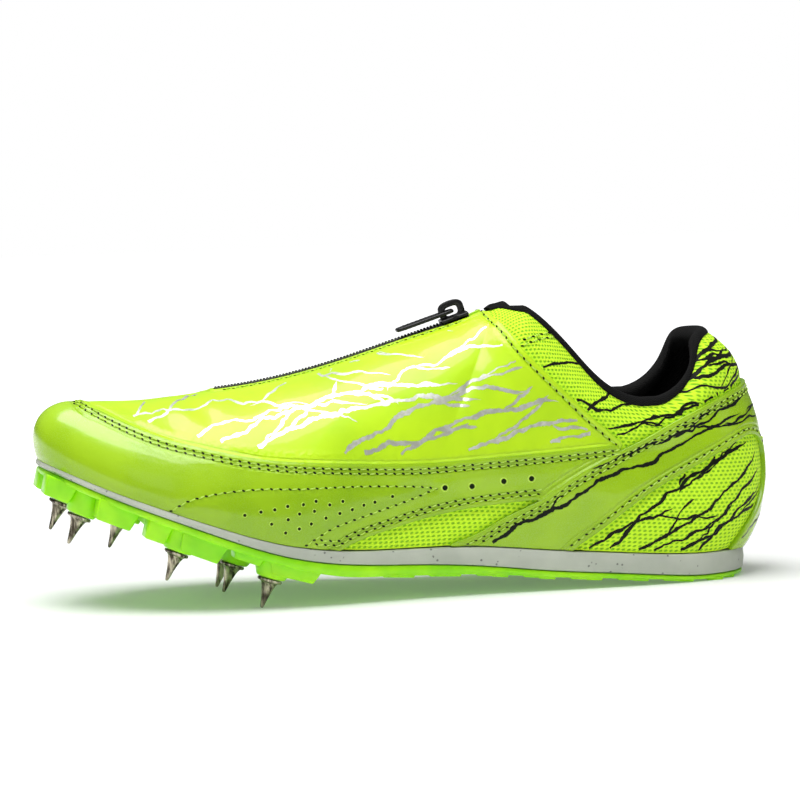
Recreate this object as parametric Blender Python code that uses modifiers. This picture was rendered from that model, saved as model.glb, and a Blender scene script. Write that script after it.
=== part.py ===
"""A left track spike shoe with a zipped cover over the instep.

Frame: the toe points to -X, the outer side of the foot to -Y and +Z is up. The floor is
z = 0, and the origin lies on it under the middle of the shoe's box. Units are metres.

The upper, its cover and its overlays are all layers of one last surface, which is worked
out from the sizes below and the table of sections. The sole follows the same feather line.
"""

import math

import bmesh
import bpy
import numpy as np
from mathutils import Matrix, Vector

# Driving sizes of the last
SOLE_LENGTH = 0.267
BALL_WIDTH = 0.0865
INSTEP_HEIGHT = 0.1035
TOE_LIFT = 0.0444
COLLAR_WIDTH = 0.052

# Walls, layers and the gaps between them
UPPER_WALL = 0.0018
COLLAR_PAD = 0.0042
COLLAR_BULGE = 0.0022
OVERLAY_WALL = 0.0011
COVER_WALL = 0.0010
BINDING_WALL = 0.0009
BINDING_ROOM = 0.0004
FIT_GAP = 0.0003
SEAM_GAP = 0.0005

# The sole
MIDSOLE_HEEL = 0.0082
MIDSOLE_LEDGE = 0.0018
OUTSOLE_HEEL = 0.0022
OUTSOLE_STEP = 0.0007
LUG_HEIGHT = 0.0068
LUG_TAPER = 0.80
INSOLE_THICK = 0.0030

# The spikes
SPIKE_LENGTH = 0.0112
SPIKE_FLANGE = 0.0046
SPIKE_FLANGE_THICK = 0.0012
SPIKE_ROOT = 0.0028
SPIKE_TIP = 0.0007
SPIKE_SEAT = 0.0062

# The zip
ZIP_TAPE_WIDTH = 0.0150
ZIP_TAPE_THICK = 0.0008
ZIP_CHAIN_WIDTH = 0.0046
ZIP_CHAIN_HEIGHT = 0.0016
ZIP_FRONT = 0.757
ZIP_BACK = 0.389
SLIDER_PLACE = 0.414
SLIDER_LENGTH = 0.0105
SLIDER_WIDTH = 0.0082
SLIDER_THICK = 0.0016
BRIDGE_BAR = 0.0013
BRIDGE_WIDTH = 0.0022
BRIDGE_ROOM = 0.0012
PULL_LENGTH = 0.0225
PULL_WIDTH = 0.0064
PULL_THICK = 0.0013

# The sections of the last, from the heel (first row) to the toe (last row), spaced round
# the sole's outline. outer, inner, swell_out, crown_out: shares of BALL_WIDTH.
# lift: share of TOE_LIFT. top_x: share of SOLE_LENGTH, from the heel. top_z, swell_up,
# crown_drop: shares of INSTEP_HEIGHT. open: half the collar's opening, share of
# COLLAR_WIDTH. foam: share of MIDSOLE_HEEL. tread: share of OUTSOLE_HEEL.
SECTION_COLUMNS = (
    "outer", "inner", "lift", "top_x", "top_z", "open",
    "swell_out", "swell_up", "crown_out", "crown_drop", "foam", "tread",
)
SECTIONS = (
    (0.000, 0.000, 0.000, 0.045, 0.895, 0.000, 0.225, 0.235, 0.195, 0.120, 1.00, 1.00),
    (0.131, 0.131, 0.000, 0.056, 0.890, 0.170, 0.200, 0.235, 0.175, 0.120, 1.00, 1.00),
    (0.237, 0.237, 0.000, 0.077, 0.861, 0.310, 0.145, 0.240, 0.120, 0.140, 1.00, 1.00),
    (0.303, 0.301, 0.000, 0.099, 0.764, 0.420, 0.090, 0.240, 0.060, 0.170, 1.00, 1.00),
    (0.333, 0.324, 0.018, 0.146, 0.679, 0.480, 0.060, 0.235, 0.025, 0.190, 0.94, 1.05),
    (0.347, 0.318, 0.058, 0.212, 0.722, 0.490, 0.050, 0.245, 0.030, 0.210, 0.92, 1.20),
    (0.350, 0.306, 0.106, 0.268, 0.863, 0.425, 0.046, 0.260, 0.085, 0.230, 0.92, 1.36),
    (0.358, 0.318, 0.165, 0.324, 1.000, 0.300, 0.044, 0.270, 0.160, 0.120, 0.86, 1.68),
    (0.387, 0.364, 0.189, 0.365, 0.990, 0.000, 0.044, 0.270, 0.290, 0.000, 0.72, 2.10),
    (0.439, 0.434, 0.209, 0.462, 0.918, 0.000, 0.046, 0.240, 0.310, 0.000, 0.60, 2.05),
    (0.480, 0.497, 0.295, 0.575, 0.831, 0.000, 0.050, 0.200, 0.325, 0.000, 0.49, 1.60),
    (0.474, 0.520, 0.460, 0.687, 0.766, 0.000, 0.050, 0.165, 0.315, 0.000, 0.40, 1.36),
    (0.422, 0.497, 0.628, 0.781, 0.738, 0.000, 0.048, 0.140, 0.285, 0.000, 0.34, 1.22),
    (0.320, 0.418, 0.775, 0.852, 0.722, 0.000, 0.046, 0.120, 0.245, 0.000, 0.32, 1.14),
    (0.203, 0.306, 0.896, 0.904, 0.722, 0.000, 0.045, 0.110, 0.200, 0.000, 0.30, 1.14),
    (0.090, 0.183, 0.973, 0.940, 0.726, 0.000, 0.045, 0.106, 0.160, 0.000, 0.30, 1.14),
    (-0.046, 0.046, 1.000, 0.953, 0.727, 0.000, 0.045, 0.106, 0.140, 0.000, 0.30, 1.14),
)
LAST_ROW = len(SECTIONS) - 1
THROAT_ROW = 8
HEEL_X = 0.1285
HEEL_STACK = MIDSOLE_HEEL + OUTSOLE_HEEL + 2 * FIT_GAP
STATION_STEP = 0.5
RISES = (0.0, 0.07, 0.16, 0.26, 0.36, 0.46, 0.56, 0.66, 0.76, 0.86, 0.955, 1.0)

# Side views of the overlays' edges. along: share of SOLE_LENGTH, from the heel.
# up: share of INSTEP_HEIGHT.
MUDGUARD_TOP = (
    (0.956, 0.830), (0.942, 0.728), (0.919, 0.694), (0.884, 0.649), (0.848, 0.611),
    (0.810, 0.582), (0.721, 0.530), (0.626, 0.506), (0.493, 0.488), (0.404, 0.494),
    (0.315, 0.503), (0.203, 0.516),
)
ARM_UNDER = (
    (0.650, 0.130), (0.612, 0.202), (0.579, 0.237), (0.543, 0.261), (0.498, 0.289),
    (0.439, 0.315), (0.379, 0.329), (0.321, 0.337),
)
SADDLE_TOP = (
    (0.480, 0.130), (0.455, 0.190), (0.419, 0.221), (0.378, 0.274), (0.321, 0.337),
    (0.291, 0.387), (0.257, 0.433), (0.205, 0.492), (0.132, 0.580), (0.060, 0.661),
    (-0.010, 0.715), (-0.090, 0.754),
)
SADDLE_WINDOW = (
    (0.310, 0.050), (0.274, 0.150), (0.233, 0.221), (0.169, 0.331), (0.101, 0.419),
    (0.027, 0.508), (0.005, 0.522), (-0.011, 0.505), (-0.022, 0.459), (-0.021, 0.354),
    (-0.007, 0.261), (0.025, 0.157), (0.060, 0.050),
)
COVER_BACK = (
    (0.390, 1.130), (0.380, 1.030), (0.357, 0.960), (0.338, 0.880), (0.313, 0.806),
    (0.282, 0.724), (0.248, 0.635), (0.221, 0.573), (0.199, 0.521),
)

# The lugs under the forefoot. along: share of SOLE_LENGTH from the heel. across: share of
# BALL_WIDTH, outer side negative. long, wide: shares of BALL_WIDTH. deep: share of
# LUG_HEIGHT.
LUG_COLUMNS = ("along", "across", "long", "wide", "deep")
LUGS = (
    (0.980, -0.105, 0.140, 0.150, 0.90),
    (0.980, 0.185, 0.140, 0.150, 0.90),
    (0.908, -0.250, 0.190, 0.140, 1.00),
    (0.908, 0.350, 0.190, 0.140, 1.00),
    (0.856, -0.345, 0.110, 0.130, 1.00),
    (0.856, 0.425, 0.110, 0.130, 1.00),
    (0.798, -0.385, 0.210, 0.140, 1.00),
    (0.798, 0.435, 0.210, 0.140, 1.00),
    (0.738, -0.395, 0.140, 0.120, 0.40),
    (0.738, 0.440, 0.140, 0.120, 0.40),
    (0.676, -0.400, 0.230, 0.140, 0.60),
    (0.676, 0.435, 0.230, 0.140, 0.60),
    (0.908, 0.050, 0.100, 0.260, 0.60),
    (0.845, 0.045, 0.110, 0.320, 0.60),
    (0.786, 0.040, 0.110, 0.360, 0.60),
    (0.672, 0.020, 0.120, 0.420, 0.40),
)

# The spikes. along, across: as for the lugs. seat: height of the seat, share of
# SPIKE_SEAT, or 0 where the spike stands on the floor and its seat reaches up from it.
SPIKE_COLUMNS = ("along", "across", "seat")
SPIKES = (
    (0.958, 0.165, 1.20),
    (0.942, -0.110, 1.35),
    (0.874, 0.290, 1.08),
    (0.822, -0.345, 1.22),
    (0.720, 0.350, 0.00),
    (0.729, 0.000, 1.10),
    (0.700, -0.380, 0.00),
)


def column(name):
    """One column of the table of sections."""
    return np.array([row[SECTION_COLUMNS.index(name)] for row in SECTIONS])


def fold(station):
    """The row of the table that a station reads, on either side of the foot."""
    station = np.mod(np.asarray(station, float), 2 * LAST_ROW)
    return np.where(station > LAST_ROW, 2 * LAST_ROW - station, station)


def loop_spline(loop, at):
    """A closed cubic spline through loop, one unit apart, read at the places at."""
    count = len(loop)
    ring = np.eye(count)
    system = 4 * ring + np.roll(ring, 1, 0) + np.roll(ring, -1, 0)
    slope = np.linalg.solve(system, 3.0 * (np.roll(loop, -1) - np.roll(loop, 1)))
    place = np.mod(at, count)
    first = np.floor(place).astype(int) % count
    second = (first + 1) % count
    t = place - np.floor(place)
    return (
        loop[first] * (2 * t**3 - 3 * t**2 + 1)
        + slope[first] * (t**3 - 2 * t**2 + t)
        + loop[second] * (3 * t**2 - 2 * t**3)
        + slope[second] * (t**3 - t**2)
    )


def read(name, station):
    """A column of the table at any station, the same on both sides of the foot."""
    values = column(name)
    curve = loop_spline(np.concatenate([values, values[-2:0:-1]]), fold(station))
    return np.clip(curve, values.min(), values.max())


def smooth(points, steps=2):
    """A Catmull-Rom curve through an open list of points."""
    points = np.array(points, float)
    ends = np.vstack([2 * points[0] - points[1], points, 2 * points[-1] - points[-2]])
    curve = []
    for i in range(len(points) - 1):
        a, b, c, d = ends[i : i + 4]
        for t in np.arange(steps) / steps:
            curve.append(
                (2 * b + (c - a) * t + (2 * a - 5 * b + 4 * c - d) * t**2
                 + (3 * b - a - 3 * c + d) * t**3) / 2
            )
    return np.array(curve + [points[-1]])


def unit(vectors):
    """The vectors at length 1."""
    return vectors / np.linalg.norm(vectors, axis=-1, keepdims=True)


def stack(*parts):
    """Points or vectors from their coordinates."""
    return np.stack(np.broadcast_arrays(*parts), -1)


def feather(station):
    """The line where upper and sole meet.

    station runs from 0 at the heel along the outer side to LAST_ROW at the toe, and back
    along the inner side to 2 * LAST_ROW.
    """
    share = (1 - np.cos(math.pi * fold(station) / LAST_ROW)) / 2
    side = np.concatenate([-column("outer"), column("inner")[-2:0:-1]]) * BALL_WIDTH
    return stack(
        HEEL_X - SOLE_LENGTH * share,
        loop_spline(side, np.asarray(station, float)),
        HEEL_STACK + TOE_LIFT * read("lift", station),
    )


def outward(station):
    """The level unit normal of the feather line."""
    step = 1e-3
    along = feather(station + step) - feather(station - step)
    return unit(stack(-along[..., 1], along[..., 0], 0.0))


def ridge(station):
    """The instep's crest in front of the throat, and the collar's edge behind it."""
    station = np.mod(np.asarray(station, float), 2 * LAST_ROW)
    row = fold(station)
    opening = column("open")[: THROAT_ROW + 1]
    loop = np.concatenate([opening, -opening[-2:0:-1]])
    half = np.where(row < THROAT_ROW, loop_spline(loop, row), 0.0) * COLLAR_WIDTH
    return stack(
        HEEL_X - SOLE_LENGTH * read("top_x", row),
        np.where(station > LAST_ROW, half, -half),
        INSTEP_HEIGHT * read("top_z", row),
    )


def crest_forward(row):
    """The crest's direction towards the toe, turning level behind the throat."""
    row = np.clip(row, THROAT_ROW, LAST_ROW - 0.5)
    return unit(ridge(row + 0.01) - ridge(row))


def last_point(station, rise):
    """A point of the last: rise is 0 at the sole and 1 at the crest or the collar."""
    station, rise = np.broadcast_arrays(
        np.asarray(station, float), np.asarray(rise, float)
    )
    row = fold(station)
    foot, top, out = feather(station), ridge(station), outward(station)
    level = np.array([-1.0, 0.0, 0.0])
    closed = np.clip(row - THROAT_ROW + 1, 0, 1)[..., None]
    forward = level * (1 - closed) + crest_forward(row) * closed
    over = out[..., 1:2] * np.array([0.0, 1.0, 0.0]) - out[..., :1] * forward
    up = np.array([0.0, 0.0, 1.0])
    swell = (
        out * read("swell_out", row)[..., None] * BALL_WIDTH
        + up * read("swell_up", row)[..., None] * INSTEP_HEIGHT
    )
    crown = (
        over * read("crown_out", row)[..., None] * BALL_WIDTH
        - up * read("crown_drop", row)[..., None] * INSTEP_HEIGHT
    )
    t = rise[..., None]
    padded = np.clip((THROAT_ROW - row) / 3, 0, 1) * np.sin(
        math.pi * np.clip((rise - 0.62) / 0.38, 0, 1)
    ) ** 2
    return (
        foot * (1 - t) ** 3
        + 3 * (foot + swell) * t * (1 - t) ** 2
        + 3 * (top + crown) * t**2 * (1 - t)
        + top * t**3
        + out * COLLAR_BULGE * padded[..., None]
    )


def last_normal(station, rise):
    """The outward unit normal of the last."""
    station, rise = np.broadcast_arrays(
        np.asarray(station, float), np.asarray(rise, float)
    )
    step = 2e-3
    inner = np.clip(rise, 0.01, 0.985)
    across = last_point(station + step, inner) - last_point(station - step, inner)
    upward = last_point(station, inner + 0.005) - last_point(station, inner - 0.005)
    return unit(np.cross(upward, across))


def stations():
    """The stations round the whole last."""
    return np.arange(0, 2 * LAST_ROW, STATION_STEP)


def collar_frame(step=STATION_STEP):
    """Points, outward and upward directions round the collar's edge, and the stations."""
    round_collar = np.arange(-THROAT_ROW, THROAT_ROW, step)
    edge = ridge(round_collar)
    along = unit(np.roll(edge, -1, 0) - np.roll(edge, 1, 0))
    normal = unit(np.cross(edge - last_point(round_collar, RISES[-2]), along))
    normal[0] = unit(normal[1] + normal[-1])
    return round_collar, edge, normal, np.cross(along, normal)


def last_grid(depth):
    """Points of the layer that lies depth outside the last, depth being a number or a grid."""
    around, rise = stations()[:, None], np.array(RISES)[None, :]
    points, normals = last_point(around, rise), last_normal(around, rise)
    depth = np.broadcast_to(depth, points.shape[:2])[..., None]
    grid = points + depth * normals
    row = fold(around[:, 0])
    closed = row > THROAT_ROW
    forward = crest_forward(row[closed])
    above = stack(forward[:, 2], 0.0, -forward[:, 0])
    grid[closed, -1] = ridge(row[closed]) + depth[closed, -1] * above
    round_collar, edge, normal, upward = collar_frame()
    places = (np.mod(round_collar, 2 * LAST_ROW) / STATION_STEP).astype(int)
    lowered = edge - (BINDING_ROOM + BINDING_WALL) * upward
    grid[places, -1] = lowered + depth[places, -1] * normal
    grid[int(THROAT_ROW / STATION_STEP), -1] = grid[places[0], -1]
    return grid


def new_object(name, bm, collection):
    """An object made from bm, in the named collection."""
    mesh = bpy.data.meshes.new(name)
    bm.to_mesh(mesh)
    bm.free()
    obj = bpy.data.objects.new(name, mesh)
    collection.objects.link(obj)
    return obj


def last_shell(name, low, high, collection):
    """A wall between the layers low and high, open underneath and at the collar."""
    bm = bmesh.new()
    inner, outer = (
        [[bm.verts.new(point) for point in line] for line in last_grid(depth)]
        for depth in (low, high)
    )
    count, rows = len(outer), len(RISES)
    collar = fold(stations() + STATION_STEP / 2) < THROAT_ROW
    for i in range(count):
        ahead = (i + 1) % count
        for j in range(rows - 1):
            for sheet in (inner, outer):
                one, two = sheet[i][j : j + 2]
                four, three = sheet[ahead][j : j + 2]
                bm.faces.new((one, two, three))
                bm.faces.new((one, three, four))
        for j in (0, rows - 1):
            if j == 0 or collar[i]:
                bm.faces.new((inner[i][j], outer[i][j], outer[ahead][j]))
                bm.faces.new((inner[i][j], outer[ahead][j], inner[ahead][j]))
    bmesh.ops.remove_doubles(bm, verts=bm.verts[:], dist=1e-6)
    bmesh.ops.recalc_face_normals(bm, faces=bm.faces[:])
    return new_object(name, bm, collection)


def boolean(obj, operation, other):
    """Cut, join or intersect obj with other."""
    cut = obj.modifiers.new(operation.lower(), "BOOLEAN")
    cut.operation = operation
    cut.object = other
    cut.solver = "EXACT"
    other.hide_render = True
    other.display_type = "WIRE"


def prism(name, outline, axis, low, high, collection):
    """A solid with a flat outline, running along axis from low to high.

    The outline's pairs are x and z where axis is Y, and x and y where axis is Z.
    """
    bm = bmesh.new()
    if axis == "Y":
        ring = [bm.verts.new((x, low, z)) for x, z in outline]
        run = Vector((0, high - low, 0))
    else:
        ring = [bm.verts.new((x, y, low)) for x, y in outline]
        run = Vector((0, 0, high - low))
    face = bm.faces.new(ring)
    made = bmesh.ops.extrude_face_region(bm, geom=[face])["geom"]
    moved = [item for item in made if isinstance(item, bmesh.types.BMVert)]
    bmesh.ops.translate(bm, verts=moved, vec=run)
    bmesh.ops.recalc_face_normals(bm, faces=bm.faces[:])
    return new_object(name, bm, collection)


def side_view(points, shift=0.0):
    """x and z of an edge's points, smoothed, and moved up by shift."""
    curve = smooth(points)
    return [
        (HEEL_X - SOLE_LENGTH * along, INSTEP_HEIGHT * up + shift) for along, up in curve
    ]


def loft(name, rings, collection):
    """A closed solid through rings of points round the shoe, the first ring on top."""
    count = rings.shape[1]
    bm = bmesh.new()
    verts = [[bm.verts.new(point) for point in ring] for ring in rings]
    for upper, lower in zip(verts, verts[1:]):
        for i in range(count):
            ahead = (i + 1) % count
            bm.faces.new((upper[i], upper[ahead], lower[ahead], lower[i]))
    for ring in (verts[0], verts[-1]):
        for i in range(count // 2):
            corners = [ring[i], ring[i + 1], ring[count - i - 1], ring[-i]]
            bm.faces.new(list(dict.fromkeys(corners)))
    bmesh.ops.recalc_face_normals(bm, faces=bm.faces[:])
    return new_object(name, bm, collection)


def sole_ring(out, below):
    """A ring that follows the feather line, out from it and below it."""
    around = stations()
    ring = feather(around) + out * outward(around)
    ring[:, 2] -= below
    return ring


def foam_depth(station):
    """The midsole's thickness."""
    return MIDSOLE_HEEL * read("foam", station)


def plate_bottom(along):
    """Height and forward slope of the outsole's underside at a share of its length."""
    def height(share):
        row = LAST_ROW * math.acos(1 - 2 * min(max(share, 0.0), 1.0)) / math.pi
        depth = foam_depth(row) + OUTSOLE_HEEL * read("tread", row) + 2 * FIT_GAP
        return float(feather(row)[2] - depth)

    rise = height(along + 0.01) - height(along - 0.01)
    return height(along), math.atan2(rise, 0.02 * SOLE_LENGTH)


def material(name, colour, roughness, metallic=0.0):
    """A plain finish."""
    finish = bpy.data.materials.new(name)
    finish.use_nodes = True
    shader = finish.node_tree.nodes["Principled BSDF"]
    shader.inputs["Base Color"].default_value = (*colour, 1.0)
    shader.inputs["Roughness"].default_value = roughness
    shader.inputs["Metallic"].default_value = metallic
    return finish


def dress(obj, finish, root, rounded=True):
    """Give a part its finish, its shading and its parent."""
    obj.data.materials.append(finish)
    if rounded:
        obj.data.shade_smooth()
        obj.data.set_sharp_from_angle(angle=math.radians(35))
    obj.parent = root
    return obj


def make_upper(parts, cutters):
    """The hollow upper: a wall inside the last, thicker at the collar, with its throat."""
    around, rise = stations()[:, None], np.array(RISES)[None, :]
    back = np.clip((THROAT_ROW - fold(around)) / 2, 0, 1)
    high = np.clip((rise - 0.5) / 0.3, 0, 1)
    wall = UPPER_WALL + (COLLAR_PAD - UPPER_WALL) * back * high
    upper = last_shell("upper", -wall, 0.0, parts)
    half = ZIP_TAPE_WIDTH / 2 + SEAM_GAP
    slot = plan_box("throat_cut", ZIP_FRONT, ZIP_BACK, half, SEAM_GAP, cutters)
    boolean(upper, "DIFFERENCE", slot)
    return upper


def plan_box(name, front, back, half, spare, cutters):
    """A box over the instep, seen from above, from front to back shares of the length."""
    left = HEEL_X - SOLE_LENGTH * front - spare
    right = HEEL_X - SOLE_LENGTH * back + spare
    outline = ((left, -half), (right, -half), (right, half), (left, half))
    return prism(name, outline, "Z", 0.5 * INSTEP_HEIGHT, 1.3 * INSTEP_HEIGHT, cutters)


def make_ground(cutters):
    """A cutter for everything below the feather line, seen from the side."""
    line = feather(np.arange(0, LAST_ROW + STATION_STEP, STATION_STEP))
    past = 0.1 * SOLE_LENGTH
    outline = [(line[0][0] + past, line[0][2])]
    outline += [(point[0], point[2]) for point in line]
    outline.append((line[-1][0] - past, line[-1][2]))
    outline += [(outline[-1][0], -past), (outline[0][0], -past)]
    return prism("ground_cut", outline, "Y", -BALL_WIDTH, BALL_WIDTH, cutters)


def make_mudguard(parts, cutters, ground):
    """The toe cap and the overlay along the sides, down to the feather line."""
    mudguard = last_shell("mudguard", FIT_GAP, FIT_GAP + OVERLAY_WALL, parts)
    top = side_view(MUDGUARD_TOP, -SEAM_GAP / 2)
    tail = side_view(SADDLE_TOP[4:8], SEAM_GAP)[::-1]
    under = side_view(ARM_UNDER)[::-1]
    front = HEEL_X - 1.1 * SOLE_LENGTH
    corners = [(front, under[-1][1]), (front, top[0][1])]
    outline = top + tail + under[1:] + corners
    cutter = prism("mudguard_cut", outline, "Y", -BALL_WIDTH, BALL_WIDTH, cutters)
    boolean(mudguard, "INTERSECT", cutter)
    boolean(mudguard, "DIFFERENCE", ground)
    return mudguard


def make_saddle(parts, cutters, ground):
    """The strap that climbs over the quarter and wraps the heel, with its windows."""
    saddle = last_shell("heel_saddle", FIT_GAP, FIT_GAP + OVERLAY_WALL, parts)
    edge = side_view(SADDLE_TOP)
    outline = edge + [(edge[-1][0], -HEEL_STACK), (edge[0][0], -HEEL_STACK)]
    cutter = prism("saddle_cut", outline, "Y", -BALL_WIDTH, BALL_WIDTH, cutters)
    boolean(saddle, "INTERSECT", cutter)
    window = prism(
        "window_cut", side_view(SADDLE_WINDOW), "Y", -BALL_WIDTH, BALL_WIDTH, cutters
    )
    boolean(saddle, "DIFFERENCE", window)
    boolean(saddle, "DIFFERENCE", ground)
    return saddle


def make_shroud(parts, cutters):
    """The glossy cover over the instep, slit for the zip."""
    shroud = last_shell("shroud", FIT_GAP, FIT_GAP + COVER_WALL, parts)
    bottom = side_view(MUDGUARD_TOP, SEAM_GAP / 2)[::-1]
    back = side_view(COVER_BACK)[::-1]
    high = 1.2 * INSTEP_HEIGHT
    outline = bottom + [(bottom[-1][0], high), (back[-1][0], high)] + back[::-1]
    cutter = prism("shroud_cut", outline, "Y", -BALL_WIDTH, BALL_WIDTH, cutters)
    boolean(shroud, "INTERSECT", cutter)
    half = ZIP_CHAIN_WIDTH / 2 + FIT_GAP
    slit = plan_box("slit_cut", ZIP_FRONT, 0.2, half, 0.0, cutters)
    boolean(shroud, "DIFFERENCE", slit)
    return shroud


def make_zip(parts, cutters):
    """The tape in the throat, with the closed chain standing up through the slit."""
    under = -FIT_GAP - ZIP_TAPE_THICK
    tape = last_shell("zip_tape", under, -FIT_GAP, parts)
    field = plan_box("tape_cut", ZIP_FRONT, ZIP_BACK, ZIP_TAPE_WIDTH / 2, 0.0, cutters)
    boolean(tape, "INTERSECT", field)
    chain = last_shell("chain_form", under + ZIP_TAPE_THICK / 2, ZIP_CHAIN_HEIGHT, cutters)
    inset = SEAM_GAP / 2
    row = plan_box("chain_cut", ZIP_FRONT, ZIP_BACK, ZIP_CHAIN_WIDTH / 2, -inset, cutters)
    boolean(chain, "INTERSECT", row)
    boolean(tape, "UNION", chain)
    return tape


def make_binding(parts):
    """The folded edge over the collar: a lip outside and a cap over the wall."""
    around, edge, normal, upward = collar_frame()
    lip = last_point(around, RISES[-2])
    lip_out = last_normal(around, RISES[-2])
    outer = BINDING_ROOM + BINDING_WALL
    section = (
        lip + BINDING_ROOM * lip_out,
        lip + outer * lip_out,
        edge + outer * normal,
        edge - COLLAR_PAD * normal,
        edge - COLLAR_PAD * normal - BINDING_WALL * upward,
        edge + BINDING_ROOM * normal - BINDING_WALL * upward,
    )
    bm = bmesh.new()
    verts = [[bm.verts.new(point) for point in line] for line in section]
    count = len(edge)
    for one, two in zip(verts, verts[1:] + verts[:1]):
        for i in range(count):
            ahead = (i + 1) % count
            bm.faces.new((one[i], two[i], two[ahead]))
            bm.faces.new((one[i], two[ahead], one[ahead]))
    bmesh.ops.recalc_face_normals(bm, faces=bm.faces[:])
    return new_object("collar_binding", bm, parts)


def make_midsole(parts):
    """The foam between the feather line and the outsole."""
    around = stations()
    foam = foam_depth(around)
    rings = (
        sole_ring(MIDSOLE_LEDGE, FIT_GAP),
        sole_ring(MIDSOLE_LEDGE + 0.2 * MIDSOLE_LEDGE, FIT_GAP + 0.5 * foam),
        sole_ring(MIDSOLE_LEDGE - 0.3 * MIDSOLE_LEDGE, FIT_GAP + foam),
    )
    return loft("midsole", np.array(rings), parts)


def make_insole(parts):
    """The sock liner on the midsole, inside the upper."""
    inset = -(UPPER_WALL + SEAM_GAP)
    rings = (sole_ring(inset, -INSOLE_THICK), sole_ring(inset, 0.0))
    return loft("insole", np.array(rings), parts)


def sole_place(row):
    """Position and turn of a lug or a spike's seat on the underside of the plate."""
    height, slope = plate_bottom(row["along"])
    place = Vector(
        (HEEL_X - SOLE_LENGTH * row["along"], BALL_WIDTH * row["across"], height)
    )
    return Matrix.Translation(place) @ Matrix.Rotation(slope, 4, "Y")


def spike_seat(row):
    """How far a spike's seat stands below the plate."""
    if row["seat"]:
        return SPIKE_SEAT * row["seat"]
    height, slope = plate_bottom(row["along"])
    reach = (height - SPIKE_TIP * math.sin(slope)) / math.cos(slope)
    return reach - SPIKE_LENGTH - FIT_GAP


def make_outsole(parts, cutters):
    """The tread sheet, its lugs under the forefoot and the seats of the spikes."""
    around = stations()
    top = foam_depth(around) + 2 * FIT_GAP
    tread = OUTSOLE_HEEL * read("tread", around)
    out = 0.7 * MIDSOLE_LEDGE
    rings = (
        sole_ring(out, top),
        sole_ring(out, top + 0.6 * tread),
        sole_ring(out - OUTSOLE_STEP, top + tread),
    )
    outsole = loft("outsole", np.array(rings), parts)
    bm = bmesh.new()
    root = 0.5 * OUTSOLE_HEEL
    for values in LUGS:
        row = dict(zip(LUG_COLUMNS, values))
        deep = LUG_HEIGHT * row["deep"]
        lug = bmesh.ops.create_cube(bm, size=1.0)["verts"]
        for vert in lug:
            narrow = LUG_TAPER if vert.co.z < 0 else 1.0
            vert.co.x *= BALL_WIDTH * row["long"] * narrow
            vert.co.y *= BALL_WIDTH * row["wide"] * narrow
            vert.co.z = -deep if vert.co.z < 0 else root
        bmesh.ops.transform(bm, matrix=sole_place(row), verts=lug)
    boolean(outsole, "UNION", new_object("lug_form", bm, cutters))
    bm = bmesh.new()
    for values in SPIKES:
        row = dict(zip(SPIKE_COLUMNS, values))
        seat = spike_seat(row)
        bmesh.ops.create_cone(
            bm, cap_ends=True, segments=12,
            radius1=SPIKE_FLANGE + OUTSOLE_STEP, radius2=SPIKE_FLANGE + 4 * OUTSOLE_STEP,
            depth=seat + root,
            matrix=sole_place(row) @ Matrix.Translation((0, 0, (root - seat) / 2)),
        )
    boolean(outsole, "UNION", new_object("seat_form", bm, cutters))
    return outsole


def make_spike(number, row, parts):
    """A spike: a round flange and a tapering body, turned from one profile."""
    profile = (
        (SPIKE_FLANGE, 0.0), (SPIKE_FLANGE, -SPIKE_FLANGE_THICK),
        (SPIKE_ROOT, -1.4 * SPIKE_FLANGE_THICK),
        (0.75 * SPIKE_ROOT, -0.45 * SPIKE_LENGTH),
        (1.3 * SPIKE_TIP, -0.85 * SPIKE_LENGTH), (SPIKE_TIP, -SPIKE_LENGTH),
    )
    bm = bmesh.new()
    line = [bm.verts.new((radius, 0, z)) for radius, z in profile]
    line = [bm.verts.new((0, 0, 0))] + line + [bm.verts.new((0, 0, -SPIKE_LENGTH))]
    for one, two in zip(line, line[1:]):
        bm.edges.new((one, two))
    spike = new_object(f"spike_{number}", bm, parts)
    turn = spike.modifiers.new("turn", "SCREW")
    turn.steps = turn.render_steps = 10
    turn.use_merge_vertices = True
    turn.merge_threshold = 1e-5
    turn.use_normal_calculate = True
    seat = spike_seat(row)
    spike.matrix_world = sole_place(row) @ Matrix.Translation((0, 0, -seat - FIT_GAP))
    return spike


def slider_matrix():
    """The slider's frame: on the crest, X along the zip towards the heel, Z off it."""
    share = column("top_x")
    row = THROAT_ROW + (SLIDER_PLACE - share[THROAT_ROW]) / (
        share[THROAT_ROW + 1] - share[THROAT_ROW]
    )
    back, front = ridge(row - 0.25), ridge(row + 0.25)
    along = back - front
    slope = math.atan2(along[2], along[0])
    return Matrix.Translation(Vector((back + front) / 2)) @ Matrix.Rotation(-slope, 4, "Y")


def bridge_outline(half, height, low):
    """The side view of the bridge: a bar over two legs, its corners cut."""
    cut = 0.35 * height
    return (
        (-half, low), (half, low), (half, low + height - cut),
        (half - cut, low + height), (-half + cut, low + height),
        (-half, low + height - cut),
    )


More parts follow.
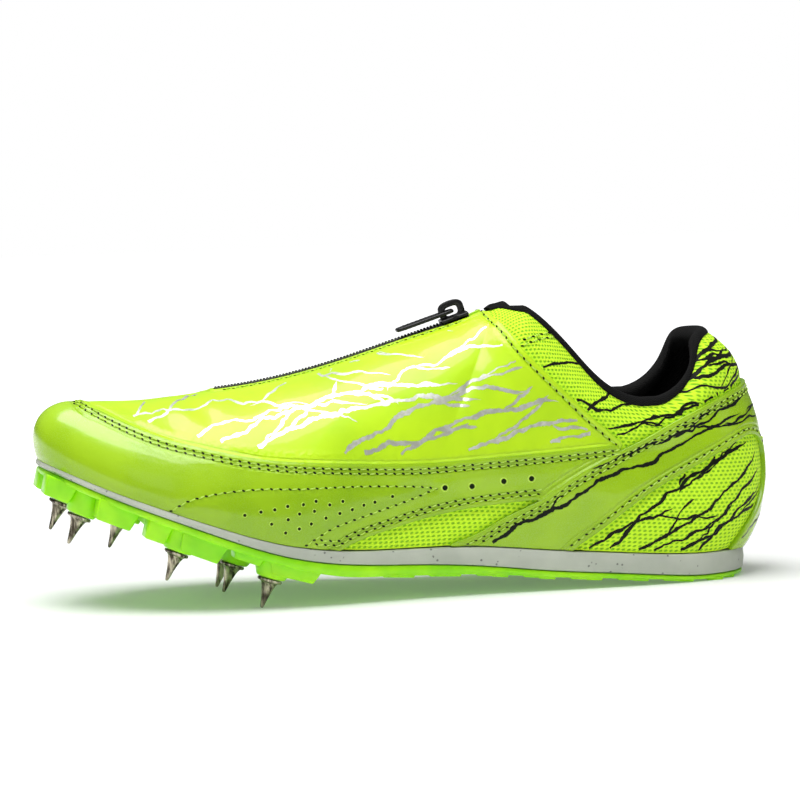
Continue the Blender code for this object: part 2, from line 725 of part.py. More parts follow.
def make_slider(parts, cutters):
    """The slider over the chain, with the bridge that holds the pull."""
    low = ZIP_CHAIN_HEIGHT + FIT_GAP
    top = low + SLIDER_THICK
    bm = bmesh.new()
    bmesh.ops.create_cube(bm, size=1.0)
    bmesh.ops.scale(bm, vec=(SLIDER_LENGTH, SLIDER_WIDTH, SLIDER_THICK), verts=bm.verts[:])
    bmesh.ops.translate(bm, vec=(0, 0, low + SLIDER_THICK / 2), verts=bm.verts[:])
    slider = new_object("zip_slider", bm, parts)
    corners = slider.modifiers.new("corners", "BEVEL")
    corners.width = 0.25 * SLIDER_THICK
    corners.segments = 1
    half, tall = bridge_room()
    sunk = 0.5 * SLIDER_THICK
    outer = bridge_outline(half + BRIDGE_BAR, tall + BRIDGE_BAR + sunk, top - sunk)
    bridge = prism(
        "bridge_form", outer, "Y", -BRIDGE_WIDTH / 2, BRIDGE_WIDTH / 2, cutters
    )
    inner = bridge_outline(half, tall, top)
    eye = prism("bridge_cut", inner, "Y", -BRIDGE_WIDTH, BRIDGE_WIDTH, cutters)
    boolean(bridge, "DIFFERENCE", eye)
    boolean(slider, "UNION", bridge)
    frame = slider_matrix()
    for obj in (slider, bridge, eye):
        obj.matrix_world = frame
    return slider


def bridge_room():
    """Half the length and the height of the hole in the slider's bridge."""
    room = PULL_THICK / 2 + BRIDGE_ROOM
    return 1.35 * room, 2 * room * 0.9


def pull_axis_height():
    """Height of the pull's axis over the crest."""
    return ZIP_CHAIN_HEIGHT + FIT_GAP + SLIDER_THICK + bridge_room()[1] / 2


def make_pull(parts, cutters):
    """The pull: a long plate with a window that the bridge stands through."""
    half_room, tall = bridge_room()
    start = PULL_THICK / 2
    bm = bmesh.new()
    bmesh.ops.create_cube(bm, size=1.0)
    bmesh.ops.scale(
        bm, vec=(PULL_LENGTH + start, PULL_WIDTH, PULL_THICK), verts=bm.verts[:]
    )
    bmesh.ops.translate(bm, vec=((start - PULL_LENGTH) / 2, 0, 0), verts=bm.verts[:])
    upright = [
        edge for edge in bm.edges
        if abs((edge.verts[0].co - edge.verts[1].co).normalized().z) > 0.9
    ]
    bmesh.ops.bevel(
        bm, geom=upright, offset=0.28 * PULL_WIDTH, segments=2, affect="EDGES", profile=0.5
    )
    pull = new_object("pull_tab", bm, parts)
    reach = start + max(half_room + BRIDGE_BAR, tall / 2 + BRIDGE_BAR) + BRIDGE_ROOM
    wide = BRIDGE_WIDTH / 2 + FIT_GAP
    outline = ((-reach, -wide), (-start, -wide), (-start, wide), (-reach, wide))
    eye = prism("pull_cut", outline, "Z", -PULL_WIDTH, PULL_WIDTH, cutters)
    boolean(pull, "DIFFERENCE", eye)
    frame = slider_matrix() @ Matrix.Translation((0, 0, pull_axis_height()))
    pull.matrix_world = frame
    eye.matrix_world = frame
    return pull


def centre(root, parts):
    """Move the shoe so that the origin lies under the middle of its box."""
    bpy.context.view_layer.update()
    graph = bpy.context.evaluated_depsgraph_get()
    corners = []
    for obj in parts.objects:
        if obj.type != "MESH":
            continue
        seen = obj.evaluated_get(graph)
        mesh = seen.to_mesh()
        points = np.empty(3 * len(mesh.vertices))
        mesh.vertices.foreach_get("co", points)
        points = points.reshape(-1, 3) @ np.array(obj.matrix_world.to_3x3()).T
        points += np.array(obj.matrix_world.translation)
        corners += [points.min(0), points.max(0)]
        seen.to_mesh_clear()
    low, high = np.min(corners, 0), np.max(corners, 0)
    root.location = (-(low[0] + high[0]) / 2, -(low[1] + high[1]) / 2, 0.0)


def main():
    """Build the shoe."""
    for obj in list(bpy.data.objects):
        bpy.data.objects.remove(obj)
    parts = bpy.data.collections.new("track_spike_shoe")
    cutters = bpy.data.collections.new("cutters")
    bpy.context.scene.collection.children.link(parts)
    bpy.context.scene.collection.children.link(cutters)
    root = bpy.data.objects.new("shoe", None)
    parts.objects.link(root)

    mesh_green = material("mesh_green", (0.25, 0.80, 0.02), 0.8)
    patent_olive = material("patent_olive", (0.42, 0.60, 0.02), 0.2)
    patent_lime = material("patent_lime", (0.62, 0.82, 0.03), 0.25)
    black_cloth = material("black_cloth", (0.015, 0.015, 0.015), 0.85)
    zip_black = material("zip_black", (0.02, 0.02, 0.02), 0.45)
    foam_white = material("foam_white", (0.75, 0.76, 0.75), 0.7)
    rubber_green = material("rubber_green", (0.20, 0.95, 0.01), 0.4)
    spike_steel = material("spike_steel", (0.35, 0.31, 0.25), 0.3, 1.0)

    dress(make_upper(parts, cutters), mesh_green, root)
    ground = make_ground(cutters)
    dress(make_mudguard(parts, cutters, ground), patent_olive, root)
    dress(make_saddle(parts, cutters, ground), patent_olive, root)
    dress(make_shroud(parts, cutters), patent_lime, root)
    dress(make_binding(parts), black_cloth, root)
    dress(make_zip(parts, cutters), zip_black, root)
    dress(make_slider(parts, cutters), zip_black, root, rounded=False)
    dress(make_pull(parts, cutters), zip_black, root, rounded=False)
    dress(make_midsole(parts), foam_white, root)
    dress(make_insole(parts), black_cloth, root)
    dress(make_outsole(parts, cutters), rubber_green, root)
    for number, values in enumerate(SPIKES, 1):
        spike = make_spike(number, dict(zip(SPIKE_COLUMNS, values)), parts)
        dress(spike, spike_steel, root)
    for cutter in cutters.objects:
        cutter.parent = root
    centre(root, parts)


if __name__ == "__main__":
    main()
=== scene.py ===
"""The looks of a left track spike shoe with a zipped cover over the instep.

Every layer of the upper is a surface of one foot form, the last, which is worked out from
the same sizes as the CAD part. A place on it has a station, which runs round the sole, and a
rise, from the sole to the crest. Panels are trimmed layers of it, threads and prints are
lines drawn on it. Frame: the toe points to -X, the outer side to -Y, +Z is up, in metres.
"""

import logging
import math
from dataclasses import dataclass
from enum import Enum
from functools import cached_property
from typing import Callable, Optional, Sequence, Union

import bmesh
import bpy
import numpy as np
from mathutils import Matrix, Vector


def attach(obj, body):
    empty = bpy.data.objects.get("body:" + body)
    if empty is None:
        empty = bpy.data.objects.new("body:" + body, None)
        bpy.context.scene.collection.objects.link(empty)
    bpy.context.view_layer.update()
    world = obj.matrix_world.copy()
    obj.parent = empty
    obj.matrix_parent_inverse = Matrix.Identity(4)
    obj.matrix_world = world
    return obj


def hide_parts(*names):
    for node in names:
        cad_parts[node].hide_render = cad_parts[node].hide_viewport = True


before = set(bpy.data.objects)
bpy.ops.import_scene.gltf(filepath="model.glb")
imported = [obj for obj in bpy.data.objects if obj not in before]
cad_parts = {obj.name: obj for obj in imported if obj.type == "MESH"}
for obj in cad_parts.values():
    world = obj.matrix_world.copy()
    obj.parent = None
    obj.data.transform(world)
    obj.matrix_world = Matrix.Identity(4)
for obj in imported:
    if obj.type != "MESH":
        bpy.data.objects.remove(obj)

Array = np.ndarray
Colour = tuple[float, float, float]
Pairs = Sequence[tuple[float, float]]
LOG = logging.getLogger("track_spike_shoe")
MM = 0.001

# Shares of the sole's length, from the heel: the ends of the zip, where the slider stands,
# and how far back the cover's slit runs on.
ZIP_FRONT = 0.757
ZIP_BACK = 0.389
SLIDER_AT = 0.414
SLIT_BACK = 0.1

MUDGUARD_THICK = 0.00135
SADDLE_THICK = 0.0015
COVER_THICK = 0.0011

# How far in from a panel's edge its rows of stitches run.
ROWS = (0.0020, 0.0036)
COVER_ROW = 0.0022
CREST_ROW = 0.0045

# The sections of the last, from the heel (first row) to the toe (last row), as in the CAD
# part: shares of the ball's width, the toe's lift, the length, the instep and the soles.
SECTION_COLUMNS = (
    "outer", "inner", "lift", "top_x", "top_z", "open",
    "swell_out", "swell_up", "crown_out", "crown_drop", "foam", "tread",
)
SECTIONS = (
    (0.000, 0.000, 0.000, 0.045, 0.895, 0.000, 0.225, 0.235, 0.195, 0.120, 1.00, 1.00),
    (0.131, 0.131, 0.000, 0.056, 0.890, 0.170, 0.200, 0.235, 0.175, 0.120, 1.00, 1.00),
    (0.237, 0.237, 0.000, 0.077, 0.861, 0.310, 0.145, 0.240, 0.120, 0.140, 1.00, 1.00),
    (0.303, 0.301, 0.000, 0.099, 0.764, 0.420, 0.090, 0.240, 0.060, 0.170, 1.00, 1.00),
    (0.333, 0.324, 0.018, 0.146, 0.679, 0.480, 0.060, 0.235, 0.025, 0.190, 0.94, 1.05),
    (0.347, 0.318, 0.058, 0.212, 0.722, 0.490, 0.050, 0.245, 0.030, 0.210, 0.92, 1.20),
    (0.350, 0.306, 0.106, 0.268, 0.863, 0.425, 0.046, 0.260, 0.085, 0.230, 0.92, 1.36),
    (0.358, 0.318, 0.165, 0.324, 1.000, 0.300, 0.044, 0.270, 0.160, 0.120, 0.86, 1.68),
    (0.387, 0.364, 0.189, 0.365, 0.990, 0.000, 0.044, 0.270, 0.290, 0.000, 0.72, 2.10),
    (0.439, 0.434, 0.209, 0.462, 0.918, 0.000, 0.046, 0.240, 0.310, 0.000, 0.60, 2.05),
    (0.480, 0.497, 0.295, 0.575, 0.831, 0.000, 0.050, 0.200, 0.325, 0.000, 0.49, 1.60),
    (0.474, 0.520, 0.460, 0.687, 0.766, 0.000, 0.050, 0.165, 0.315, 0.000, 0.40, 1.36),
    (0.422, 0.497, 0.628, 0.781, 0.738, 0.000, 0.048, 0.140, 0.285, 0.000, 0.34, 1.22),
    (0.320, 0.418, 0.775, 0.852, 0.722, 0.000, 0.046, 0.120, 0.245, 0.000, 0.32, 1.14),
    (0.203, 0.306, 0.896, 0.904, 0.722, 0.000, 0.045, 0.110, 0.200, 0.000, 0.30, 1.14),
    (0.090, 0.183, 0.973, 0.940, 0.726, 0.000, 0.045, 0.106, 0.160, 0.000, 0.30, 1.14),
    (-0.046, 0.046, 1.000, 0.953, 0.727, 0.000, 0.045, 0.106, 0.140, 0.000, 0.30, 1.14),
)

# Side views of the panels' edges, from the toe to the heel. along: share of the sole's
# length, from the heel. up: share of the instep's height.
MUDGUARD_TOP = (
    (0.956, 0.830), (0.942, 0.728), (0.919, 0.694), (0.884, 0.649), (0.848, 0.611),
    (0.810, 0.582), (0.721, 0.530), (0.626, 0.506), (0.493, 0.488), (0.404, 0.494),
    (0.315, 0.503), (0.203, 0.516),
)
ARM_UNDER = (
    (0.650, 0.130), (0.612, 0.202), (0.579, 0.237), (0.543, 0.261), (0.498, 0.289),
    (0.439, 0.315), (0.379, 0.329), (0.321, 0.337),
)
SADDLE_TOP = (
    (0.480, 0.130), (0.455, 0.190), (0.419, 0.221), (0.378, 0.274), (0.321, 0.337),
    (0.291, 0.387), (0.257, 0.433), (0.205, 0.492), (0.132, 0.580), (0.060, 0.661),
    (-0.010, 0.715), (-0.090, 0.754),
)
SADDLE_WINDOW = (
    (0.310, 0.050), (0.274, 0.150), (0.233, 0.221), (0.169, 0.331), (0.101, 0.419),
    (0.027, 0.508), (0.005, 0.522), (-0.011, 0.505), (-0.022, 0.459), (-0.021, 0.354),
    (-0.007, 0.261), (0.025, 0.157), (0.060, 0.050),
)
COVER_BACK = (
    (0.390, 1.130), (0.380, 1.030), (0.357, 0.960), (0.338, 0.880), (0.313, 0.806),
    (0.282, 0.724), (0.248, 0.635), (0.221, 0.573), (0.199, 0.521),
)
LENS_TOP = (
    (0.850, 0.360), (0.818, 0.402), (0.775, 0.422), (0.721, 0.429), (0.669, 0.423),
    (0.612, 0.422), (0.555, 0.417), (0.497, 0.406), (0.472, 0.396),
)
LENS_UNDER = (
    (0.472, 0.396), (0.512, 0.362), (0.556, 0.331), (0.600, 0.300), (0.629, 0.275),
    (0.671, 0.215), (0.700, 0.150),
)
COLLAR_SEAM = ((0.345, 0.884), (0.322, 0.905), (0.298, 0.915), (0.280, 0.912))
SMALL_HOLES = (
    (0.746, 0.345), (0.724, 0.353), (0.705, 0.358), (0.687, 0.367), (0.687, 0.322),
    (0.710, 0.310), (0.691, 0.277), (0.671, 0.339), (0.672, 0.288), (0.665, 0.370),
    (0.647, 0.379), (0.628, 0.364), (0.609, 0.373), (0.650, 0.345), (0.596, 0.342),
    (0.614, 0.332), (0.579, 0.355), (0.563, 0.363), (0.537, 0.379), (0.634, 0.319),
    (0.655, 0.302),
)
LARGE_HOLES = ((0.460, 0.397), (0.421, 0.397), (0.375, 0.409), (0.335, 0.413))

# Lugs and spikes, as in the CAD part: along, across, long, wide, deep, and along, across,
# seat, as shares of the sole's length, the ball's width, the lug's height and the seat.
LUGS = (
    (0.980, -0.105, 0.140, 0.150, 0.90), (0.980, 0.185, 0.140, 0.150, 0.90),
    (0.908, -0.250, 0.190, 0.140, 1.00), (0.908, 0.350, 0.190, 0.140, 1.00),
    (0.856, -0.345, 0.110, 0.130, 1.00), (0.856, 0.425, 0.110, 0.130, 1.00),
    (0.798, -0.385, 0.210, 0.140, 1.00), (0.798, 0.435, 0.210, 0.140, 1.00),
    (0.738, -0.395, 0.140, 0.120, 0.40), (0.738, 0.440, 0.140, 0.120, 0.40),
    (0.676, -0.400, 0.230, 0.140, 0.60), (0.676, 0.435, 0.230, 0.140, 0.60),
    (0.908, 0.050, 0.100, 0.260, 0.60), (0.845, 0.045, 0.110, 0.320, 0.60),
    (0.786, 0.040, 0.110, 0.360, 0.60), (0.672, 0.020, 0.120, 0.420, 0.40),
)
SPIKES = (
    (0.958, 0.165, 1.20), (0.942, -0.110, 1.35), (0.874, 0.290, 1.08),
    (0.822, -0.345, 1.22), (0.720, 0.350, 0.00), (0.729, 0.000, 1.10),
    (0.700, -0.380, 0.00),
)

# How far the soft collar stands behind and above the solid's, in millimetres, by row.
COLLAR_MOVES = (
    (-2.4, -2.0, -0.6, 1.3, 0.6, 0.0, 0.0, 0.0, 0.0),
    (1.3, 1.4, 1.4, 0.4, 0.0, 0.2, 1.5, 2.1, 0.9),
)


class Side(Enum):
    """A side of the foot, with its direction along Y."""

    OUTER = -1
    INNER = 1


def unit(vectors: Array) -> Array:
    """The vectors at length 1, or as they are where they have no length."""
    length = np.linalg.norm(vectors, axis=-1, keepdims=True)
    return vectors / np.where(length > 0, length, 1.0)


def stack(*parts: Union[Array, float]) -> Array:
    """Points or vectors from their coordinates."""
    return np.stack(np.broadcast_arrays(*parts), -1)


def step_up(value: Array, low: float, high: float) -> Array:
    """0 below low, 1 above high and the smooth cubic 3t^2 - 2t^3 between them."""
    t = np.clip((value - low) / (high - low), 0, 1)
    return t * t * (3 - 2 * t)


def bell(value: Array, centre: float, width: float) -> Array:
    """The bell curve exp(-((value - centre) / width)^2)."""
    return np.exp(-(((value - centre) / width) ** 2))


def run_along(path: Array) -> Array:
    """The distance run along a path at each of its points."""
    return np.concatenate([[0], np.cumsum(np.linalg.norm(np.diff(path, axis=0), axis=1))])


def smooth_curve(points: Pairs, steps: int = 8) -> Array:
    """A Catmull-Rom curve through an open list of points.

    Each span is the cubic whose slope at a point is half the step between its neighbours.

    Args:
        points: The points that the curve goes through.
        steps: How many pieces each span has.

    Returns:
        The curve's points.
    """
    knots = np.array(points, float)
    ends = np.vstack([2 * knots[0] - knots[1], knots, 2 * knots[-1] - knots[-2]])
    a, b, c, d = (ends[i : len(ends) - 3 + i, None] for i in range(4))
    t = (np.arange(steps) / steps)[None, :, None]
    spans = b + ((c - a) * t + (2 * a - 5 * b + 4 * c - d) * t**2) / 2
    spans = spans + (3 * b - a - 3 * c + d) * t**3 / 2
    return np.vstack([spans.reshape(-1, knots.shape[1]), knots[-1:]])


def outline_distance(points: Array, outline: Array) -> Array:
    """Signed distance to a closed outline, above 0 inside it.

    The distance is the least one to any edge of the outline, and a point is inside where a
    ray from it crosses the outline an odd number of times.

    Args:
        points: Places in the outline's plane, with two coordinates each.
        outline: The corners of the outline, in order.

    Returns:
        The distance of each place.
    """
    flat = points.reshape(-1, 2)
    best = np.full(len(flat), np.inf)
    inside = np.zeros(len(flat), bool)
    for start, end in zip(outline, np.roll(outline, -1, 0)):
        run = end - start
        size = float(run @ run)
        if size < 1e-16:
            continue
        t = np.clip(((flat - start) @ run) / size, 0, 1)
        best = np.minimum(best, np.sum((flat - start - t[:, None] * run) ** 2, 1))
        spans = (start[1] > flat[:, 1]) != (end[1] > flat[:, 1])
        rise = end[1] - start[1]
        at = start[0] + run[0] * (flat[:, 1] - start[1]) / (rise if rise else 1.0)
        inside ^= spans & (flat[:, 0] < at)
    return (np.sqrt(best) * np.where(inside, 1, -1)).reshape(points.shape[:-1])


class Loop:
    """A closed cubic spline through values one unit apart.

    The slopes solve 4 s(i) + s(i-1) + s(i+1) = 3 (v(i+1) - v(i-1)).
    """

    def __init__(self, values: Array) -> None:
        """Work out the slopes at the values."""
        ring = np.eye(len(values))
        system = 4 * ring + np.roll(ring, 1, 0) + np.roll(ring, -1, 0)
        self.values = values
        self.slopes = np.linalg.solve(system, 3.0 * (np.roll(values, -1) - np.roll(values, 1)))
        self.low, self.high = values.min(), values.max()

    def at(self, place: Array) -> Array:
        """The spline's height at places along it."""
        place = np.mod(place, len(self.values))
        first = place.astype(int) % len(self.values)
        second = (first + 1) % len(self.values)
        t = place - np.floor(place)
        one, two = self.values[first], self.values[second]
        return (
            one + self.slopes[first] * t
            + (3 * (two - one) - 2 * self.slopes[first] - self.slopes[second]) * t**2
            + (2 * (one - two) + self.slopes[first] + self.slopes[second]) * t**3
        )


@dataclass(frozen=True)
class Last:
    """The foot form that every layer of the shoe follows.

    station runs from 0 at the heel along the outer side to toe_row at the toe and back
    along the inner side. rise is 0 at the sole and 1 at the crest or the collar's edge.
    """

    length: float = 0.267
    ball: float = 0.0865
    instep: float = 0.1035
    toe_lift: float = 0.0444
    collar: float = 0.052
    heel_x: float = 0.1285
    stack_height: float = 0.0110
    bulge: float = 0.0022
    shift_x: float = 0.0010594
    shift_y: float = -0.0015974
    toe_row: int = 16
    throat_row: int = 8

    def column(self, name: str) -> Array:
        """One column of the table of sections."""
        return np.array([row[SECTION_COLUMNS.index(name)] for row in SECTIONS])

    def fold(self, station: Union[Array, float]) -> Array:
        """The row of the table that a station reads, on either side of the foot."""
        place = np.mod(np.asarray(station, float), 2 * self.toe_row)
        return np.where(place > self.toe_row, 2 * self.toe_row - place, place)

    @cached_property
    def loops(self) -> dict[str, Loop]:
        """A spline for each column, and for the two sides of the sole and the collar."""
        made = {}
        for name in SECTION_COLUMNS:
            values = self.column(name)
            made[name] = Loop(np.concatenate([values, values[-2:0:-1]]))
        side = np.concatenate([-self.column("outer"), self.column("inner")[-2:0:-1]])
        opening = self.column("open")[: self.throat_row + 1]
        made["side"] = Loop(side * self.ball)
        made["mouth"] = Loop(np.concatenate([opening, -opening[-2:0:-1]]) * self.collar)
        for name, values in (("lift_x", COLLAR_MOVES[0]), ("lift_z", COLLAR_MOVES[1])):
            moves = np.zeros(self.toe_row + 1)
            moves[: len(values)] = values
            made[name] = Loop(np.concatenate([moves, moves[-2:0:-1]]) * MM)
        return made

    def read(self, name: str, station: Array) -> Array:
        """A column of the table at any station, the same on both sides of the foot."""
        loop = self.loops[name]
        return np.clip(loop.at(self.fold(station)), loop.low, loop.high)

    def share(self, station: Array) -> Array:
        """The share of the sole's length at stations: a half cosine."""
        return (1 - np.cos(math.pi * self.fold(station) / self.toe_row)) / 2

    def row_at(self, share: float) -> Array:
        """The row at a share of the sole's length, as an array of one."""
        return np.array([self.toe_row * math.acos(1 - 2 * share) / math.pi])

    def feather(self, station: Array) -> Array:
        """The line where upper and sole meet: a half cosine along, a spline across."""
        return stack(
            self.x_at(self.share(station)),
            self.loops["side"].at(station) + self.shift_y,
            self.stack_height + self.toe_lift * self.read("lift", station),
        )

    def outward(self, station: Array) -> Array:
        """The level unit normal of the feather line."""
        along = self.feather(station + 1e-3) - self.feather(station - 1e-3)
        return unit(stack(-along[..., 1], along[..., 0], 0.0))

    def ridge(self, station: Array) -> Array:
        """The instep's crest in front of the throat, and the collar's edge behind it."""
        station = np.mod(np.asarray(station, float), 2 * self.toe_row)
        row = self.fold(station)
        half = np.where(row < self.throat_row, self.loops["mouth"].at(row), 0.0)
        return stack(
            self.x_at(self.read("top_x", row)) + self.read("lift_x", row),
            np.where(station > self.toe_row, half, -half) + self.shift_y,
            self.instep * self.read("top_z", row) + self.read("lift_z", row),
        )

    def crest_forward(self, row: Array) -> Array:
        """The crest's direction towards the toe."""
        row = np.clip(row, self.throat_row, self.toe_row - 0.5)
        return unit(self.ridge(row + 0.01) - self.ridge(row))

    def point(self, station: Array, rise: Array) -> Array:
        """A point of the last.

        A cubic Bezier curve climbs from the feather line to the crest. Its first handle
        swells out and up, its second comes in over the crest, and the collar's padding
        adds a sine squared near the top.
        """
        station, rise = np.broadcast_arrays(
            np.asarray(station, float), np.asarray(rise, float)
        )
        row = self.fold(station)
        foot, top, out = self.feather(station), self.ridge(station), self.outward(station)
        closed = np.clip(row - self.throat_row + 1, 0, 1)[..., None]
        level = np.array([-1.0, 0.0, 0.0])
        forward = level * (1 - closed) + self.crest_forward(row) * closed
        over = out[..., 1:2] * np.array([0.0, 1.0, 0.0]) - out[..., :1] * forward
        up = np.array([0.0, 0.0, 1.0])
        swell = (
            out * self.read("swell_out", row)[..., None] * self.ball
            + up * self.read("swell_up", row)[..., None] * self.instep
        )
        crown = (
            over * self.read("crown_out", row)[..., None] * self.ball
            - up * self.read("crown_drop", row)[..., None] * self.instep
        )
        t = rise[..., None]
        padded = np.clip((self.throat_row - row) / 3, 0, 1) * np.sin(
            math.pi * np.clip((rise - 0.62) / 0.38, 0, 1)
        ) ** 2
        return (
            foot * (1 - t) ** 3 + 3 * (foot + swell) * t * (1 - t) ** 2
            + 3 * (top + crown) * t**2 * (1 - t) + top * t**3
            + out * self.bulge * padded[..., None]
        )

    def normal(self, station: Array, rise: Array) -> Array:
        """The outward unit normal, from the cross product of steps up and along.

        On the crest in front of the throat it turns to the crest's own normal.
        """
        station, rise = np.broadcast_arrays(
            np.asarray(station, float), np.asarray(rise, float)
        )
        inner = np.clip(rise, 0.01, 0.985)
        across = self.point(station + 2e-3, inner) - self.point(station - 2e-3, inner)
        upward = self.point(station, inner + 5e-3) - self.point(station, inner - 5e-3)
        side = unit(np.cross(upward, across))
        row = self.fold(station)
        forward = self.crest_forward(row)
        crest = stack(forward[..., 2], 0.0, -forward[..., 0])
        share = np.clip((rise - 0.985) / 0.015, 0, 1) * (row >= self.throat_row)
        return unit(side * (1 - share[..., None]) + crest * share[..., None])

    def steps(self, station: Array, rise: Array) -> tuple[Array, Array]:
        """How a point moves for a unit of station and a unit of rise."""
        low, high = np.clip(rise - 2e-3, 0, 1), np.clip(rise + 2e-3, 0, 1)
        along = (self.point(station + 2e-3, rise) - self.point(station - 2e-3, rise)) / 4e-3
        upward = self.point(station, high) - self.point(station, low)
        return along, upward / (high - low)[..., None]

    def follow(self, target: Array, station: Array, rise: Array) -> tuple[Array, Array]:
        """The place on the last nearest to each target, by Gauss-Newton steps.

        Args:
            target: Points in space near the last.
            station: The stations to start from.
            rise: The rises to start from.

        Returns:
            The stations and rises of the nearest places.
        """
        station, rise = station.copy(), rise.copy()
        for _ in range(5):
            along, upward = self.steps(station, rise)
            miss = target - self.point(station, rise)
            aa, bb = np.sum(along * along, -1), np.sum(upward * upward, -1)
            ab = np.sum(along * upward, -1)
            ma, mb = np.sum(along * miss, -1), np.sum(upward * miss, -1)
            over = aa * bb - ab * ab
            station += np.clip((ma * bb - mb * ab) / over, -0.5, 0.5)
            rise = np.clip(rise + np.clip((mb * aa - ma * ab) / over, -0.1, 0.1), 0, 1)
        return station, rise

    def locate(self, places: Array, side: Side) -> tuple[Array, Array]:
        """The station and rise of places given in a side view, as x and z.

        The nearest node of a coarse grid starts Newton steps on x and z alone.

        Args:
            places: The x and z of each place.
            side: The side of the foot that they are on.

        Returns:
            The stations and rises.
        """
        row = np.linspace(0.02, self.toe_row - 0.02, 96)
        row = row if side is Side.OUTER else 2 * self.toe_row - row
        grid_s, grid_r = np.meshgrid(row, np.linspace(0.01, 0.99, 40), indexing="ij")
        seen = self.point(grid_s, grid_r)[..., [0, 2]].reshape(-1, 2)
        start = np.concatenate([
            np.argmin(np.sum((part[:, None, :] - seen[None]) ** 2, -1), 1)
            for part in np.array_split(places, 1 + len(places) // 1500)
        ])
        station, rise = grid_s.ravel()[start].copy(), grid_r.ravel()[start].copy()
        for _ in range(8):
            along, upward = self.steps(station, rise)
            miss = places - self.point(station, rise)[:, [0, 2]]
            det = along[:, 0] * upward[:, 2] - along[:, 2] * upward[:, 0]
            det = np.where(np.abs(det) < 1e-9, 1e-9, det)
            ds = (miss[:, 0] * upward[:, 2] - miss[:, 1] * upward[:, 0]) / det
            dr = (along[:, 0] * miss[:, 1] - along[:, 2] * miss[:, 0]) / det
            station += np.clip(ds, -0.3, 0.3)
            rise = np.clip(rise + np.clip(dr, -0.05, 0.05), 0, 1)
        return station, rise

    def side_view(self, points: Pairs, shift: float = 0.0, steps: int = 8) -> Array:
        """x and z of an edge's points, smoothed, and moved up by shift."""
        curve = smooth_curve(points, steps)
        return np.stack([self.x_at(curve[:, 0]), self.instep * curve[:, 1] + shift], -1)

    def x_at(self, along: Union[Array, float]) -> Union[Array, float]:
        """The x of a share of the sole's length."""
        return self.heel_x + self.shift_x - self.length * along

    def crest_row(self, along: Union[Array, float]) -> Array:
        """The row where the crest has this share of the length."""
        rows = np.linspace(self.throat_row, self.toe_row, 400)
        return np.interp(along, self.read("top_x", rows), rows)

    def even_stations(self, pitch: float) -> Array:
        """Stations about pitch apart on the form, the same on both sides of the foot."""
        half = []
        for low, high in ((0, self.throat_row), (self.throat_row, self.toe_row)):
            fine = np.linspace(low, high, 400)
            run = run_along(self.point(fine, 0.4))
            count = max(4, int(round(run[-1] / pitch)))
            half.append(np.interp(np.arange(count) / count * run[-1], run, fine))
        outer = np.concatenate(half)
        return np.concatenate([outer, [self.toe_row], 2 * self.toe_row - outer[:0:-1]])


LAST = Last()


def operation(name: str, swapped: bool = False) -> Callable[..., "Tone"]:
    """A method of Tone that adds a Math node.

    Args:
        name: The node's operation.
        swapped: Whether the other value comes first, as in 1 - mask.

    Returns:
        The method.
    """
    def method(self: "Tone", *others: Union["Tone", float]) -> "Tone":
        """The result of the Math node."""
        values = (*others, self) if swapped else (self, *others)
        return self.paint.tone("ShaderNodeMath", 0, {"operation": name}, dict(enumerate(values)))
    return method


class Tone:
    """A shader socket on which arithmetic builds Math nodes."""

    def __init__(self, paint: "Nodes", socket: bpy.types.NodeSocket) -> None:
        """Wrap one output socket of a node tree."""
        self.paint = paint
        self.socket = socket

    __add__ = operation("ADD")
    __radd__ = operation("ADD", swapped=True)
    __sub__ = operation("SUBTRACT")
    __rsub__ = operation("SUBTRACT", swapped=True)
    __mul__ = operation("MULTIPLY")
    __rmul__ = operation("MULTIPLY", swapped=True)
    __truediv__ = operation("DIVIDE")
    __pow__ = operation("POWER")
    floor = operation("FLOOR")
    fract = operation("FRACT")
    sine = operation("SINE")
    root = operation("SQRT")
    size = operation("ABSOLUTE")
    smaller = operation("MINIMUM")

    def between(self, low: float, high: float) -> "Tone":
        """0 below low, 1 above high, smooth between them."""
        return self.paint.tone(
            "ShaderNodeMapRange", 0, {"interpolation_type": "SMOOTHSTEP"},
            {"Value": self, "From Min": low, "From Max": high},
        )


class Nodes:
    """The node tree of a material or of the world, built from empty."""

    def __init__(self, owner: Union[bpy.types.Material, bpy.types.World]) -> None:
        """Clear the owner's tree."""
        owner.use_nodes = True
        self.tree = owner.node_tree
        self.tree.nodes.clear()

    def node(
        self, kind: str, settings: Optional[dict] = None, sockets: Optional[dict] = None
    ) -> bpy.types.Node:
        """Add a node.

        Args:
            kind: The node's type.
            settings: Its properties, set first.
            sockets: The values or tones of its inputs, by name or number.

        Returns:
            The node.
        """
        node = self.tree.nodes.new(kind)
        for key, value in (settings or {}).items():
            setattr(node, key, value)
        for key, value in (sockets or {}).items():
            if isinstance(value, Tone):
                self.tree.links.new(value.socket, node.inputs[key])
            else:
                node.inputs[key].default_value = value
        return node

    def tone(self, kind: str, output: Union[str, int], settings: dict, sockets: dict) -> Tone:
        """Add a node and take one of its outputs."""
        return Tone(self, self.node(kind, settings, sockets).outputs[output])


